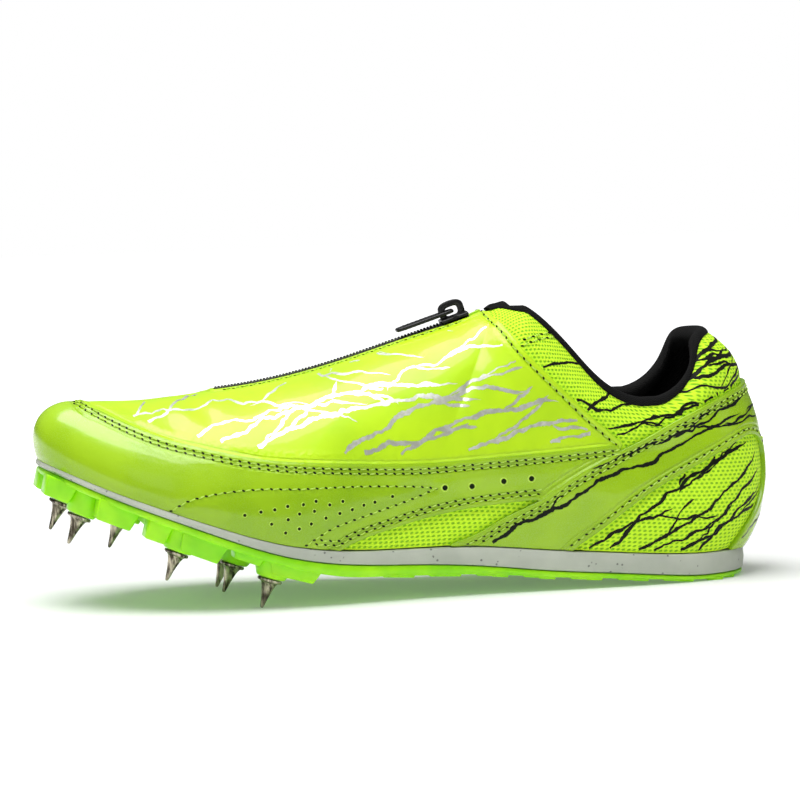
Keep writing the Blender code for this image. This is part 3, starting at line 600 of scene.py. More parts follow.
class Paint(Nodes):
    """A material under construction, with one Principled shader."""

    def __init__(self, name: str) -> None:
        """Start a material with an empty node tree."""
        self.material = bpy.data.materials.new(name)
        super().__init__(self.material)

    def place(self) -> Tone:
        """The place on the object, in metres."""
        return self.tone("ShaderNodeTexCoord", "Object", {}, {})

    def stretched(self, vector: Tone, scale: tuple[float, float, float]) -> Tone:
        """A vector with its axes scaled."""
        return self.tone(
            "ShaderNodeMapping", 0, {"vector_type": "POINT"}, {"Vector": vector, "Scale": scale}
        )

    def noise(self, vector: Tone, scale: float, detail: float = 2.0) -> Tone:
        """Smooth noise from 0 to 1, with scale cells to the unit."""
        return self.tone(
            "ShaderNodeTexNoise", "Fac", {}, {"Vector": vector, "Scale": scale, "Detail": detail}
        )

    def attribute(self, name: str) -> Tone:
        """A number kept on the mesh."""
        return self.tone("ShaderNodeAttribute", "Fac", {"attribute_name": name}, {})

    def weave(self) -> tuple[Tone, Tone]:
        """The run round the shoe and up it, in millimetres, kept on the mesh."""
        node = self.node("ShaderNodeAttribute", {"attribute_name": "weave"})
        parts = self.node(
            "ShaderNodeSeparateXYZ", {}, {"Vector": Tone(self, node.outputs["Vector"])}
        )
        return Tone(self, parts.outputs[0]), Tone(self, parts.outputs[1])

    def mix(self, share: Tone, one: Union[Tone, Colour], two: Union[Tone, Colour]) -> Tone:
        """A colour between one, at share 0, and two, at share 1."""
        one, two = (c if isinstance(c, Tone) else (*c, 1.0) for c in (one, two))
        return self.tone("ShaderNodeMix", 2, {"data_type": "RGBA"}, {0: share, 6: one, 7: two})

    def bump(self, height: Tone, depth: float, below: Optional[Tone] = None) -> Tone:
        """A normal bent by height, which is depth metres for 1, over another bump."""
        sockets = {"Height": height, "Distance": depth, "Strength": 1.0}
        if below is not None:
            sockets["Normal"] = below
        return self.tone("ShaderNodeBump", 0, {}, sockets)

    def done(self, **sockets: Union[Tone, Colour, float]) -> bpy.types.Material:
        """Close the material with a Principled shader.

        Args:
            sockets: The shader's inputs, with _ for a space in their names.

        Returns:
            The material.
        """
        named = {
            key.replace("_", " "): (*value, 1.0) if isinstance(value, tuple) else value
            for key, value in sockets.items()
        }
        shader = self.node("ShaderNodeBsdfPrincipled", {}, named)
        self.node("ShaderNodeOutputMaterial", {}, {"Surface": Tone(self, shader.outputs[0])})
        return self.material


@dataclass(frozen=True)
class Patent:
    """Glossy coated synthetic leather, with a pressed grain and needle rows."""

    name: str
    colour: Colour
    # deep: a darker copy of the colour, for random cloud and for painted shade in the edge and the
    # lens
    deep: Colour
    roughness: float = 0.22
    coat: float = 0.4
    grain: float = 0.00006
    rows: tuple[float, ...] = (2.0, 3.6)

    def make(self) -> bpy.types.Material:
        """The material: painted shade darkens its edge and the lens, and the needle rows pucker."""
        p = Paint(self.name)
        place = p.place()
        edge, lens = p.attribute("edge"), p.attribute("lens")
        cloud = p.noise(place, 45.0, 3.0)
        # Painted shade: the pressed lens is darkened towards deep; the cloud is random tone.
        shade = (cloud.between(0.35, 0.7) * 0.35 + lens * 0.3).smaller(1.0)
        # Painted shade: the first 0.8 mm of the rolled edge is darkened towards deep.
        rim = 1.0 - edge.between(0.0, 0.8)
        colour = p.mix((shade + rim * 0.45).smaller(1.0), self.colour, self.deep)
        fine = p.noise(place, 2600.0, 2.0)
        skin = p.noise(place, 420.0, 3.0)
        rough = self.roughness + fine * 0.05 + cloud * 0.05
        groove = 1.0
        for row in self.rows:
            groove = groove * (edge - row).size().between(0.0, 0.75)
        sewn = edge.between(0.3, 1.2) * (1.0 - edge.between(3.8, 6.5))
        pucker = p.noise(place, 520.0, 1.0) * sewn
        normal = p.bump(skin, self.grain * 2.2)
        normal = p.bump(groove + pucker * 1.3, 0.00030, normal)
        normal = p.bump(fine, self.grain * 0.4, normal)
        return p.done(
            Base_Color=colour, Roughness=rough, Normal=normal, Coat_Weight=self.coat,
            Coat_Roughness=0.05, Specular_IOR_Level=0.3,
        )


@dataclass(frozen=True)
class Knit:
    """Spacer mesh: rows of open cells, each shifted by half a cell."""

    name: str
    colour: Colour
    # deep: a shaded copy of the yarn colour, used in the open cells as painted shade
    deep: Colour
    wide: float = 2.1
    tall: float = 1.5
    depth: float = 0.00035

    def make(self) -> bpy.types.Material:
        """The material.

        A cell's height is a smooth step of the distance from its middle, finer rows of yarn run
        over the bars between the cells, and the open cells are darkened as painted shade.
        """
        p = Paint(self.name)
        u, v = p.weave()
        row = (v / self.tall).floor()
        across = (u / self.wide + row * 0.5).fract() - 0.5
        up = (v / self.tall).fract() - 0.5
        radius = ((across * 1.15) ** 2.0 + (up * 1.25) ** 2.0).root()
        bar = radius.between(0.20, 0.46)
        yarn = ((u * 7.0 + v * 3.0).sine() * 0.5 + 0.5) * 0.25
        cloud = p.noise(p.place(), 60.0, 2.0)
        # Painted shade: the open cells take the deep colour, and the bars the yarn colour.
        shade = (bar * 0.88 + yarn * bar * 0.3 + cloud * 0.12).smaller(1.0)
        colour = p.mix(shade, self.deep, self.colour)
        normal = p.bump(bar + yarn * 0.6, self.depth)
        return p.done(
            Base_Color=colour, Roughness=0.72, Normal=normal, Specular_IOR_Level=0.35,
        )


@dataclass(frozen=True)
class Cloth:
    """A plain woven or knitted cloth, ribbed along one way."""

    name: str
    colour: Colour
    light: Colour
    pitch: float = 0.9
    depth: float = 0.00018
    roughness: float = 0.85

    def make(self) -> bpy.types.Material:
        """The material: crossed sine ribs of yarn, with loose fibre noise."""
        p = Paint(self.name)
        u, v = p.weave()
        turn = 2 * math.pi / self.pitch
        ribs = (u * turn).sine() * (v * turn * 1.3 + (u * turn * 0.5).sine()).sine()
        fibre = p.noise(p.place(), 3200.0, 2.0)
        height = ribs * 0.5 + fibre * 0.5
        colour = p.mix(height.between(0.1, 0.9), self.colour, self.light)
        return p.done(
            Base_Color=colour, Roughness=self.roughness, Normal=p.bump(height, self.depth),
            Specular_IOR_Level=0.12,
        )


@dataclass(frozen=True)
class Moulded:
    """Moulded foam, rubber or plastic, with a fine texture and specks."""

    name: str
    colour: Colour
    deep: Colour
    speck: Colour = (0.1, 0.1, 0.1)
    specks: float = 0.0
    roughness: float = 0.5
    grain: float = 0.00004
    glow: float = 0.0
    coat: float = 0.0

    def make(self) -> bpy.types.Material:
        """The material: cloudy colour, fine grain and, where asked, small dark specks."""
        p = Paint(self.name)
        place = p.place()
        cloud = p.noise(place, 70.0, 3.0)
        colour = p.mix(cloud.between(0.3, 0.75), self.colour, self.deep)
        if self.specks:
            cells = p.tone(
                "ShaderNodeTexVoronoi", "Distance", {}, {"Vector": place, "Scale": 330.0}
            )
            some = p.noise(place, 260.0, 1.0).between(0.49, 0.53)
            colour = p.mix(
                (1.0 - cells.between(0.10, 0.20)) * some * self.specks, colour, self.speck
            )
        fine = p.noise(place, 2200.0, 3.0)
        return p.done(
            Base_Color=colour, Roughness=self.roughness + fine * 0.08,
            Normal=p.bump(fine, self.grain), Subsurface_Weight=self.glow,
            Subsurface_Radius=Vector((0.004, 0.006, 0.001)), Subsurface_Scale=0.4,
            Coat_Weight=self.coat, Coat_Roughness=0.12, Specular_IOR_Level=0.3,
        )


@dataclass(frozen=True)
class Metal:
    """Metal or metal foil, clouded and streaked: the streaks are partly fine scratches and partly
    painted reflections.
    """

    name: str
    colour: Colour
    deep: Colour
    roughness: float = 0.28
    metallic: float = 1.0
    scratch_and_glint_scale: tuple[float, float, float] = (900.0, 900.0, 60.0)

    def make(self) -> bpy.types.Material:
        """The material: streaks drawn out along one axis change colour and gloss; their light and
        dark bands are partly painted reflections.
        """
        p = Paint(self.name)
        place = p.place()
        # Painted reflection as well as scratches: the streaks mix the light and the dark colour.
        streak = p.noise(p.stretched(place, self.scratch_and_glint_scale), 1.0, 3.0)
        cloud = p.noise(place, 240.0, 2.0)
        colour = p.mix((streak * 0.6 + cloud * 0.4).between(0.36, 0.6), self.colour, self.deep)
        return p.done(
            Base_Color=colour, Metallic=self.metallic,
            Roughness=self.roughness + streak * 0.18, Normal=p.bump(streak, 0.00002),
        )


@dataclass(frozen=True)
class Ink:
    """A printed film, a dyed thread or the painted shade of a hole, slightly uneven."""

    name: str
    colour: Colour
    light: Colour
    roughness: float = 0.5

    def make(self) -> bpy.types.Material:
        """The material: fine noise between two colours."""
        p = Paint(self.name)
        fine = p.noise(p.place(), 1500.0, 2.0)
        return p.done(
            Base_Color=p.mix(fine.between(0.35, 0.7), self.colour, self.light),
            Roughness=self.roughness + fine * 0.1, Normal=p.bump(fine, 0.00005),
            Specular_IOR_Level=0.15,
        )


@dataclass
class Net:
    """A mesh as arrays: points, and faces as one run of corners with their sizes."""

    points: Array
    corners: Array
    sizes: Array

    @staticmethod
    def from_quads(points: Array, quads: Array) -> "Net":
        """A net whose faces all have the same number of corners."""
        return Net(points, quads.ravel(), np.full(len(quads), quads.shape[1]))

    @staticmethod
    def from_bmesh(bm: bmesh.types.BMesh) -> "Net":
        """The net of a finished bmesh, which is freed."""
        bm.verts.index_update()
        net = Net(
            np.array([vert.co for vert in bm.verts]),
            np.array([vert.index for face in bm.faces for vert in face.verts]),
            np.array([len(face.verts) for face in bm.faces]),
        )
        bm.free()
        return net

    @staticmethod
    def joined(nets: Sequence["Net"]) -> "Net":
        """Several nets as one, each one's corners counted on from the last."""
        starts = np.cumsum([0] + [len(net.points) for net in nets[:-1]])
        return Net(
            np.concatenate([net.points for net in nets]),
            np.concatenate([net.corners + start for net, start in zip(nets, starts)]),
            np.concatenate([net.sizes for net in nets]),
        )

    def build(
        self, name: str, finish: bpy.types.Material, body: str = "shoe",
        values: Optional[dict[str, Array]] = None, sharp: float = 40.0,
    ) -> bpy.types.Object:
        """Make the object, ride it on its body and report it.

        Args:
            name: The piece's name.
            finish: Its material.
            body: The CAD body that it moves with.
            values: Numbers or vectors to keep on its points, by name.
            sharp: Edges that turn by more degrees than this shade as sharp.

        Returns:
            The object.
        """
        mesh = bpy.data.meshes.new(name)
        mesh.vertices.add(len(self.points))
        mesh.vertices.foreach_set("co", self.points.astype(np.float32).ravel())
        mesh.loops.add(len(self.corners))
        mesh.loops.foreach_set("vertex_index", self.corners.astype(np.int32))
        mesh.polygons.add(len(self.sizes))
        starts = np.concatenate([[0], np.cumsum(self.sizes)[:-1]])
        mesh.polygons.foreach_set("loop_start", starts.astype(np.int32))
        mesh.update(calc_edges=True)
        for key, data in (values or {}).items():
            vector = data.ndim == 2
            layer = mesh.attributes.new(key, "FLOAT_VECTOR" if vector else "FLOAT", "POINT")
            layer.data.foreach_set(
                "vector" if vector else "value", data.astype(np.float32).ravel()
            )
        mesh.validate()
        mesh.materials.append(finish)
        mesh.shade_smooth()
        mesh.set_sharp_from_angle(angle=math.radians(sharp))
        obj = bpy.data.objects.new(name, mesh)
        bpy.context.scene.collection.objects.link(obj)
        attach(obj, body)
        LOG.info("%s: %d points, %d faces", name, len(self.points), len(self.sizes))
        return obj


Depth = Callable[[Array, Array], Array]
Field = Callable[[Array], Array]


def flat_depth(depth: float) -> Depth:
    """A depth that is the same all over."""
    return lambda points, edge: np.full(points.shape[:-1], depth)


@dataclass
class Sheet:
    """A layer of the last, trimmed by a field of distances, with a wall and a round edge.

    field gives each point of the last its distance inside the sheet's outline, above 0
    where the sheet is. high and low give the height of its two faces over the last.
    """

    name: str
    field: Field
    low: Depth
    high: Depth
    pitch: float = 0.0010
    first: float = 0.006
    last_rise: float = 1.0
    edge: float = 0.00035
    rings: int = 3

    def grid(self) -> tuple[Array, Array]:
        """Stations and rises of an even grid over the whole last."""
        around = LAST.even_stations(self.pitch)
        tall = np.linalg.norm(np.diff(LAST.point(5.0, np.linspace(0, 1, 50)), axis=0), axis=1)
        count = int(np.sum(tall) / self.pitch)
        rise = self.first + (self.last_rise - self.first) * np.linspace(0, 1, count)
        return np.meshgrid(around, rise, indexing="ij")

    @staticmethod
    def _snap(station: Array, rise: Array, inside: Array) -> tuple[Array, Array, Array]:
        """Move grid points that lie close to the outline onto it.

        Along each of a point's four edges the field is taken as linear, and where its zero
        is less than a third of the edge away, the point moves there.
        """
        best = np.full(station.shape, 0.34)
        ds, dr = np.zeros(station.shape), np.zeros(station.shape)
        whole = 2 * LAST.toe_row
        for axis, step in ((0, 1), (0, -1), (1, 1), (1, -1)):
            other = np.roll(inside, -step, axis)
            run_s = (np.roll(station, -step, axis) - station + whole / 2) % whole - whole / 2
            run_r = np.roll(rise, -step, axis) - rise
            t = np.where(inside * other < 0, inside / (inside - other + 1e-30), 1.0)
            if axis == 1:
                t[:, -1 if step == 1 else 0] = 1.0
            near = t < best
            best = np.where(near, t, best)
            ds, dr = np.where(near, t * run_s, ds), np.where(near, t * run_r, dr)
        moved = best < 0.34
        return station + ds, rise + dr, np.where(moved, 0.0, inside)

    def _trim(
        self, station: Array, rise: Array, inside: Array, extra: Sequence[Array]
    ) -> tuple[Array, Array, list[Array], Array, Array]:
        """Cut the grid along the field's zero.

        A cell's face is the run of its corners that are inside and of the crossings on its
        edges, in order round the cell.
        """
        count, rows = station.shape
        whole = 2 * LAST.toe_row
        keep = inside >= 0
        ids = np.where(keep, np.cumsum(keep.ravel()).reshape(keep.shape) - 1, -1)
        total = int(keep.sum())
        columns = [station[keep], rise[keep], *(e[keep] for e in extra)]
        edges = []
        for axis in (0, 1):
            other = np.roll(inside, -1, axis)
            cross = inside * other < 0
            if axis == 1:
                cross[:, -1] = False
            t = (inside / (inside - other + 1e-30))[cross]
            number = np.where(cross, np.cumsum(cross.ravel()).reshape(cross.shape) - 1 + total, -1)
            total += int(cross.sum())
            run = (np.roll(station, -1, axis) - station + whole / 2) % whole - whole / 2
            made = [station[cross] + t * run[cross]]
            for value in (rise, *extra):
                made.append(value[cross] + t * (np.roll(value, -1, axis) - value)[cross])
            columns = [np.concatenate(pair) for pair in zip(columns, made)]
            edges.append(number)
        ahead = np.roll(np.arange(count), -1)
        slots = np.stack([
            ids[:, :-1], edges[1][:, :-1], ids[:, 1:], edges[0][:, 1:],
            ids[ahead][:, 1:], edges[1][ahead][:, :-1], ids[ahead][:, :-1], edges[0][:, :-1],
        ], -1).reshape(-1, 8)
        corner = np.stack([
            inside[:, :-1], inside[:, 1:], inside[ahead][:, 1:], inside[ahead][:, :-1]
        ], -1).reshape(-1, 4)
        used = (np.sum(slots >= 0, 1) >= 3) & np.any(corner > 0, 1)
        slots = slots[used]
        return (
            columns[0], columns[1], columns[2:], slots[slots >= 0], np.sum(slots >= 0, 1)
        )

    @staticmethod
    def _weld(points: Array, corners: Array) -> tuple[Array, Array]:
        """The first index of each place, and the corners that use only those."""
        keys = np.round(points / 2e-7).astype(np.int64)
        _, first, back = np.unique(keys, axis=0, return_index=True, return_inverse=True)
        used, compact = np.unique(first[back.ravel()][corners], return_inverse=True)
        return used, compact.ravel()

    def net(self) -> tuple[Net, dict[str, Array], Array, Array]:
        """Both faces of the sheet and its round edge.

        The edge's rings stand out by the radius times the sine of an angle and sink by the
        radius times one minus its cosine, and the last ring drops to the lower face.

        Returns:
            The net, the values kept on its points, and their stations and rises.
        """
        station, rise = self.grid()
        inside = self.field(LAST.point(station, rise)) - self.edge
        station, rise, inside = self._snap(station, rise, inside)
        place = LAST.point(station, rise)
        run = np.linalg.norm(np.roll(place, -1, 0) - place, axis=2)
        half = int(np.argmax(station[:, 0] >= LAST.toe_row))
        ahead = np.cumsum(np.vstack([np.zeros(run.shape[1]), run[:half]]), 0)
        behind = np.cumsum(run[half:][::-1], 0)[::-1]
        round_it = np.vstack([ahead[:half], behind])
        climb = np.linalg.norm(np.diff(place, axis=1), axis=2)
        climb = np.hstack([np.zeros((len(place), 1)), np.cumsum(climb, 1)])
        station, rise, extra, corners, sizes = self._trim(
            station, rise, inside, (round_it, climb)
        )
        used, corners = self._weld(LAST.point(station, rise), corners)
        station, rise = station[used], rise[used]
        weave = np.stack([extra[0][used], extra[1][used], 0 * extra[0][used]], -1) / MM
        base, normal = LAST.point(station, rise), LAST.normal(station, rise)
        distance = self.field(base)
        top = base + self.high(base, distance)[:, None] * normal
        bottom = base + self.low(base, distance)[:, None] * normal

        starts = np.concatenate([[0], np.cumsum(sizes)[:-1]])
        ahead = np.arange(len(corners)) + 1
        ahead[starts + sizes - 1] = starts
        a, b = corners, corners[ahead]
        total = len(top)
        border = ~np.isin(a * total + b, b * total + a)
        a, b = a[border], b[border]
        run = unit(top[b] - top[a])
        out = np.zeros_like(top)
        side = np.cross(run, normal[a])
        np.add.at(out, a, side)
        np.add.at(out, b, side)
        rim = np.unique(np.concatenate([a, b]))
        out = unit(out[rim])
        slot = np.full(total, -1)
        slot[rim] = np.arange(len(rim))
        wall = np.linalg.norm(top[rim] - bottom[rim], axis=1)[:, None]
        radius = np.minimum(self.edge, 0.6 * wall)
        rings = [
            top[rim] + radius * math.sin(angle) * out - radius * (1 - math.cos(angle)) * normal[rim]
            for angle in np.linspace(0, math.pi / 2, self.rings + 1)[1:]
        ]
        rings.append(top[rim] + radius * out - wall * normal[rim])
        inner = np.setdiff1d(np.arange(total), rim)
        under = np.empty(total, int)
        under[rim] = total + (len(rings) - 1) * len(rim) + np.arange(len(rim))
        under[inner] = total + len(rings) * len(rim) + np.arange(len(inner))
        points = np.concatenate([top, *rings, bottom[inner]])
        source = np.concatenate([np.arange(total), *[rim] * len(rings), inner])
        faces = [Net(points, corners, sizes)]
        lines = [(a, b)] + [
            tuple(total + k * len(rim) + slot[e] for e in (a, b)) for k in range(len(rings))
        ]
        for (a0, b0), (a1, b1) in zip(lines, lines[1:]):
            faces.append(Net.from_quads(points, np.stack([b0, a0, a1, b1], -1)))
        back = np.arange(len(corners))
        back = np.repeat(2 * starts + sizes - 1, sizes) - back
        faces.append(Net(points, under[corners[back]], sizes))
        whole = Net(
            points, np.concatenate([f.corners for f in faces]),
            np.concatenate([f.sizes for f in faces]),
        )
        outer_edge = np.concatenate([distance, *[distance[rim] * 0] * len(rings), distance[inner]])
        # edge: distance in from the outline, in mm; the patent paints shade in its first 0.8 mm and
        # presses its needle rows.
        values = {"weave": weave[source], "edge": np.clip(outer_edge / MM, 0, 12)}
        return whole, values, station[source], rise[source]


@dataclass(frozen=True)
class Trace:
    """A line drawn on the last, as stations and rises."""

    station: Array
    rise: Array

    @staticmethod
    def from_side(points: Pairs, side: Side, pitch: float) -> "Trace":
        """A smooth line through places in the side view, read at an even pitch.

        Args:
            points: Shares of the sole's length and of the instep's height.
            side: The side of the foot.
            pitch: The distance between the line's places.

        Returns:
            The line.
        """
        return Trace(*LAST.locate(LAST.side_view(points), side)).even(pitch)

    def even(self, pitch: float) -> "Trace":
        """The same line with its places pitch apart."""
        run = run_along(LAST.point(self.station, self.rise))
        at = np.arange(0, run[-1], pitch)
        return Trace(np.interp(at, run, self.station), np.interp(at, run, self.rise))

    def frame(self) -> tuple[Array, Array, Array, Array]:
        """Places, directions along the line, across it to its left, and off the last."""
        place = LAST.point(self.station, self.rise)
        normal = LAST.normal(self.station, self.rise)
        along = unit(np.gradient(place, axis=0))
        across = unit(np.cross(normal, along))
        return place, along, across, normal

    def shifted(self, offset: Union[Array, float]) -> "Trace":
        """The line moved across itself by offset, and put back on the last."""
        place, _, across, _ = self.frame()
        target = place + np.asarray(offset, float)[..., None] * across
        return Trace(*LAST.follow(target, self.station, self.rise))

    def where(self, keep: Array) -> "Trace":
        """The places that keep picks out."""
        return Trace(self.station[keep], self.rise[keep])


def bodies_of(template: Array, faces: Array, centre: Array, axes: Sequence[Array]) -> Net:
    """One small form set down at many places.

    Args:
        template: The form's points, along, across and up.
        faces: Its faces, all with the same number of corners.
        centre: The places.
        axes: At each place the directions along, across and up.

    Returns:
        All the forms as one net.
    """
    points = centre[:, None, :] + sum(
        template[None, :, k, None] * axes[k][:, None, :] for k in range(3)
    )
    index = faces[None] + (np.arange(len(centre)) * len(template))[:, None, None]
    return Net.from_quads(points.reshape(-1, 3), index.reshape(-1, faces.shape[1]))


def tube_faces(rings: int, around: int, closed: bool = False) -> Array:
    """The quads between the rings of a tube, and back to the first ring if it's closed."""
    i, j = np.meshgrid(np.arange(rings - (not closed)), np.arange(around), indexing="ij")
    k = (j + 1) % around
    here, ahead = i * around, (i + 1) % rings * around
    return np.stack([here + j, here + k, ahead + k, ahead + j], -1).reshape(-1, 4)


def closed_tube(rings: Array, capped_back: bool) -> Net:
    """A tube through rings of points, the first ring on top, with both ends capped.

    The sides are quads. A cap is quads from each point to the one as far round on the other
    side, with a triangle at either tip.

    Args:
        rings: The rings' points.
        capped_back: Whether the first cap's corners run against the rings.

    Returns:
        The net.
    """
    levels, count = rings.shape[:2]
    half = count // 2
    i = np.arange(1, half - 1)
    cap = np.stack([i, i + 1, count - i - 1, count - i], -1)
    tips = np.array([(0, 1, count - 1), (half - 1, half, half + 1)])
    last = (levels - 1) * count
    one, two = (-1, 1) if capped_back else (1, -1)
    quads = [tube_faces(levels, count)[:, ::-1], cap[:, ::one], cap[:, ::two] + last]
    points = rings.reshape(-1, 3)
    ends = [tips[:, ::one], tips[:, ::two] + last]
    nets = [Net.from_quads(points, np.concatenate(faces)) for faces in (quads, ends)]
    return Net(
        points, np.concatenate([net.corners for net in nets]),
        np.concatenate([net.sizes for net in nets]),
    )


def rounded(long: float, wide: float, power: float, count: int) -> tuple[Array, Array]:
    """A superellipse of half sizes long and wide: signed powers of cosine and sine."""
    turn = np.linspace(0, 2 * math.pi, count, endpoint=False)
    cos, sin = np.cos(turn), np.sin(turn)
    return (
        long * np.sign(cos) * np.abs(cos) ** power, wide * np.sign(sin) * np.abs(sin) ** power,
    )


def add_tube(bm: bmesh.types.BMesh, rings: Array) -> None:
    """Add a tube that closes on its first ring to a bmesh."""
    verts = [bm.verts.new(point) for point in rings.reshape(-1, 3)]
    for quad in tube_faces(*rings.shape[:2], closed=True):
        bm.faces.new([verts[i] for i in quad])


@dataclass(frozen=True)
class Shapes:
    """The outlines of the panels in the side view, as fields of distance on the last."""

    under: float = 0.0015
    slit_half: float = 0.0026
    throat_half: float = 0.0080

    def mudguard_outline(self) -> Array:
        """The toe cap and its arm, running on under the saddle."""
        top = LAST.side_view(MUDGUARD_TOP)
        tail = LAST.side_view(SADDLE_TOP[4:8], -self.under)[::-1]
        low = LAST.side_view(ARM_UNDER)[::-1]
        front = LAST.x_at(1.1)
        return np.vstack([top, tail, low[1:], [[front, low[-1, 1]], [front, top[0, 1]]]])

    def mudguard(self, points: Array) -> Array:
        """Distance inside the mudguard."""
        return outline_distance(points[..., [0, 2]], self.mudguard_outline())

    def saddle(self, points: Array) -> Array:
        """Distance inside the saddle, outside its window."""
        edge = LAST.side_view(SADDLE_TOP)
        outline = np.vstack([edge, [[edge[-1, 0], -0.02], [edge[0, 0], -0.02]]])
        seen = points[..., [0, 2]]
        window = outline_distance(seen, LAST.side_view(SADDLE_WINDOW))
        return np.minimum(outline_distance(seen, outline), -window)

    def shroud(self, points: Array) -> Array:
        """Distance inside the cover over the instep, outside the zip's slit."""
        bottom = LAST.side_view(MUDGUARD_TOP, -self.under)
        back = LAST.side_view(COVER_BACK)[::-1]
        high = 1.2 * LAST.instep
        outline = np.vstack([
            bottom, back, [[back[-1, 0], high], [bottom[0, 0], high]],
        ])
        slit = self.box(points, ZIP_FRONT, SLIT_BACK, self.slit_half)
        return np.minimum(outline_distance(points[..., [0, 2]], outline), slit)

    def throat(self, points: Array) -> Array:
        """Distance outside the throat, seen from above."""
        return self.box(points, ZIP_FRONT, ZIP_BACK, self.throat_half)

    @staticmethod
    def box(points: Array, front: float, back: float, half: float) -> Array:
        """Distance outside a box over the instep, seen from above, above 0 outside."""
        x = points[..., 0]
        past = np.maximum(LAST.x_at(front) - x, x - LAST.x_at(back))
        wide = np.abs(points[..., 1] - LAST.shift_y) - half
        outside = np.hypot(np.maximum(past, 0), np.maximum(wide, 0))
        distance = outside + np.minimum(np.maximum(past, wide), 0)
        low = points[..., 2] < 0.45 * LAST.instep
        return np.where(low, 1.0, distance)

    def lens(self, points: Array) -> Array:
        """Distance inside the stitched lens on the mudguard."""
        top, low = LAST.side_view(LENS_TOP), LAST.side_view(LENS_UNDER)
        corner = [[low[-1, 0], 0.0], [top[0, 0], 0.0]]
        return outline_distance(points[..., [0, 2]], np.vstack([top, low[1:], corner]))


SHAPES = Shapes()


@dataclass(frozen=True)
class Crease:
    """A soft trough or ridge: its middle and end in the side view."""

    start: tuple[float, float]
    end: tuple[float, float]
    width: float
    depth: float
    side: Side = Side.OUTER

    def lift(self, points: Array) -> Array:
        """Depth times a bell across the crease, faded to its ends."""
        a, b = (LAST.side_view((p, p), steps=1)[0] for p in (self.start, self.end))
        run = b - a
        long = float(np.linalg.norm(run))
        away = points[..., [0, 2]] - a
        t = np.clip((away @ run) / long**2, 0, 1)
        gap = np.linalg.norm(away - t[..., None] * run, axis=-1)
        fade = np.sqrt(np.clip(1 - (2 * t - 1) ** 2, 0, 1)) * 0.7 + 0.3
        this = np.sign(points[..., 1] - LAST.shift_y) == self.side.value
        return -self.depth * bell(gap, 0.0, self.width) * fade * this


SHROUD_CREASES = (
    Crease((0.395, 0.90), (0.330, 0.66), 0.0055, 0.0011),
    Crease((0.420, 0.80), (0.372, 0.62), 0.0050, 0.0006),
    Crease((0.470, 0.84), (0.420, 0.70), 0.0065, 0.0006),
    Crease((0.345, 0.80), (0.300, 0.62), 0.0040, -0.0005),
    Crease((0.700, 0.68), (0.640, 0.56), 0.0060, 0.0004),
    Crease((0.800, 0.72), (0.770, 0.66), 0.0040, 0.0008),
    Crease((0.845, 0.69), (0.815, 0.63), 0.0040, 0.0006),
    Crease((0.900, 0.70), (0.870, 0.67), 0.0040, 0.0005),
    Crease((0.395, 0.90), (0.330, 0.66), 0.0055, 0.0010, Side.INNER),
    Crease((0.800, 0.72), (0.770, 0.66), 0.0040, 0.0008, Side.INNER),
    Crease((0.560, 0.74), (0.500, 0.60), 0.0065, 0.0006, Side.INNER),
)


def cover_depth(points: Array, edge: Array) -> Array:
    """Height of the cover: a folded edge, a needle row beside it, and the creases."""
    waves = 0.00018 * np.sin(points[..., 0] / 0.0068) * np.sin(points[..., 2] / 0.0093 + 1.1)
    hem = 0.00030 * bell(edge, 0.0009, 0.0009) - 0.00018 * bell(edge, 0.0024, 0.0012)
    lift = sum(crease.lift(points) for crease in SHROUD_CREASES)
    calm = step_up(edge, 0.0, 0.006)
    slit = SHAPES.box(points, ZIP_FRONT, SLIT_BACK, SHAPES.slit_half)
    lips = 0.0006 * (1 - step_up(slit, 0.0, 0.009))
    free = 1 - 0.75 * bell(points[..., 0], LAST.x_at(SLIDER_AT), 0.011)
    return COVER_THICK + hem + (lift + waves) * calm + lips * free


def overlay_depth(thick: float) -> Depth:
    """Height of a sewn overlay: a rolled rim and a pressed band for the needle rows.

    The rim swells by a bell 0.9 mm in from the edge, and the band sinks by a wider bell.
    """
    def depth(points: Array, edge: Array) -> Array:
        rim = 0.00036 * bell(edge, 0.0008, 0.0008)
        rows = 0.00022 * bell(edge, 0.0029, 0.0016)
        sewn = 1.0 - step_up(-points[..., 2], -0.016, -0.012)
        return thick + (rim - rows) * sewn
    return depth


def covered(points: Array) -> Array:
    """Distance inside any panel."""
    return np.maximum.reduce(
        [SHAPES.mudguard(points), SHAPES.saddle(points), SHAPES.shroud(points)]
    )


def skin_depth(points: Array, edge: Array) -> Array:
    """Height of the knitted skin, which swells a little where no panel holds it down."""
    return 0.0007 * step_up(-covered(points), 0.0, 0.0045)


def mudguard_depth(points: Array, edge: Array) -> Array:
    """Height of the mudguard: the sewn overlay, pressed in along the lens's stitch."""
    lens = SHAPES.lens(points)
    press = 0.00020 * bell(lens, 0.0, 0.0012) - 0.00012 * step_up(lens, 0.0, 0.003)
    return overlay_depth(MUDGUARD_THICK)(points, edge) - press


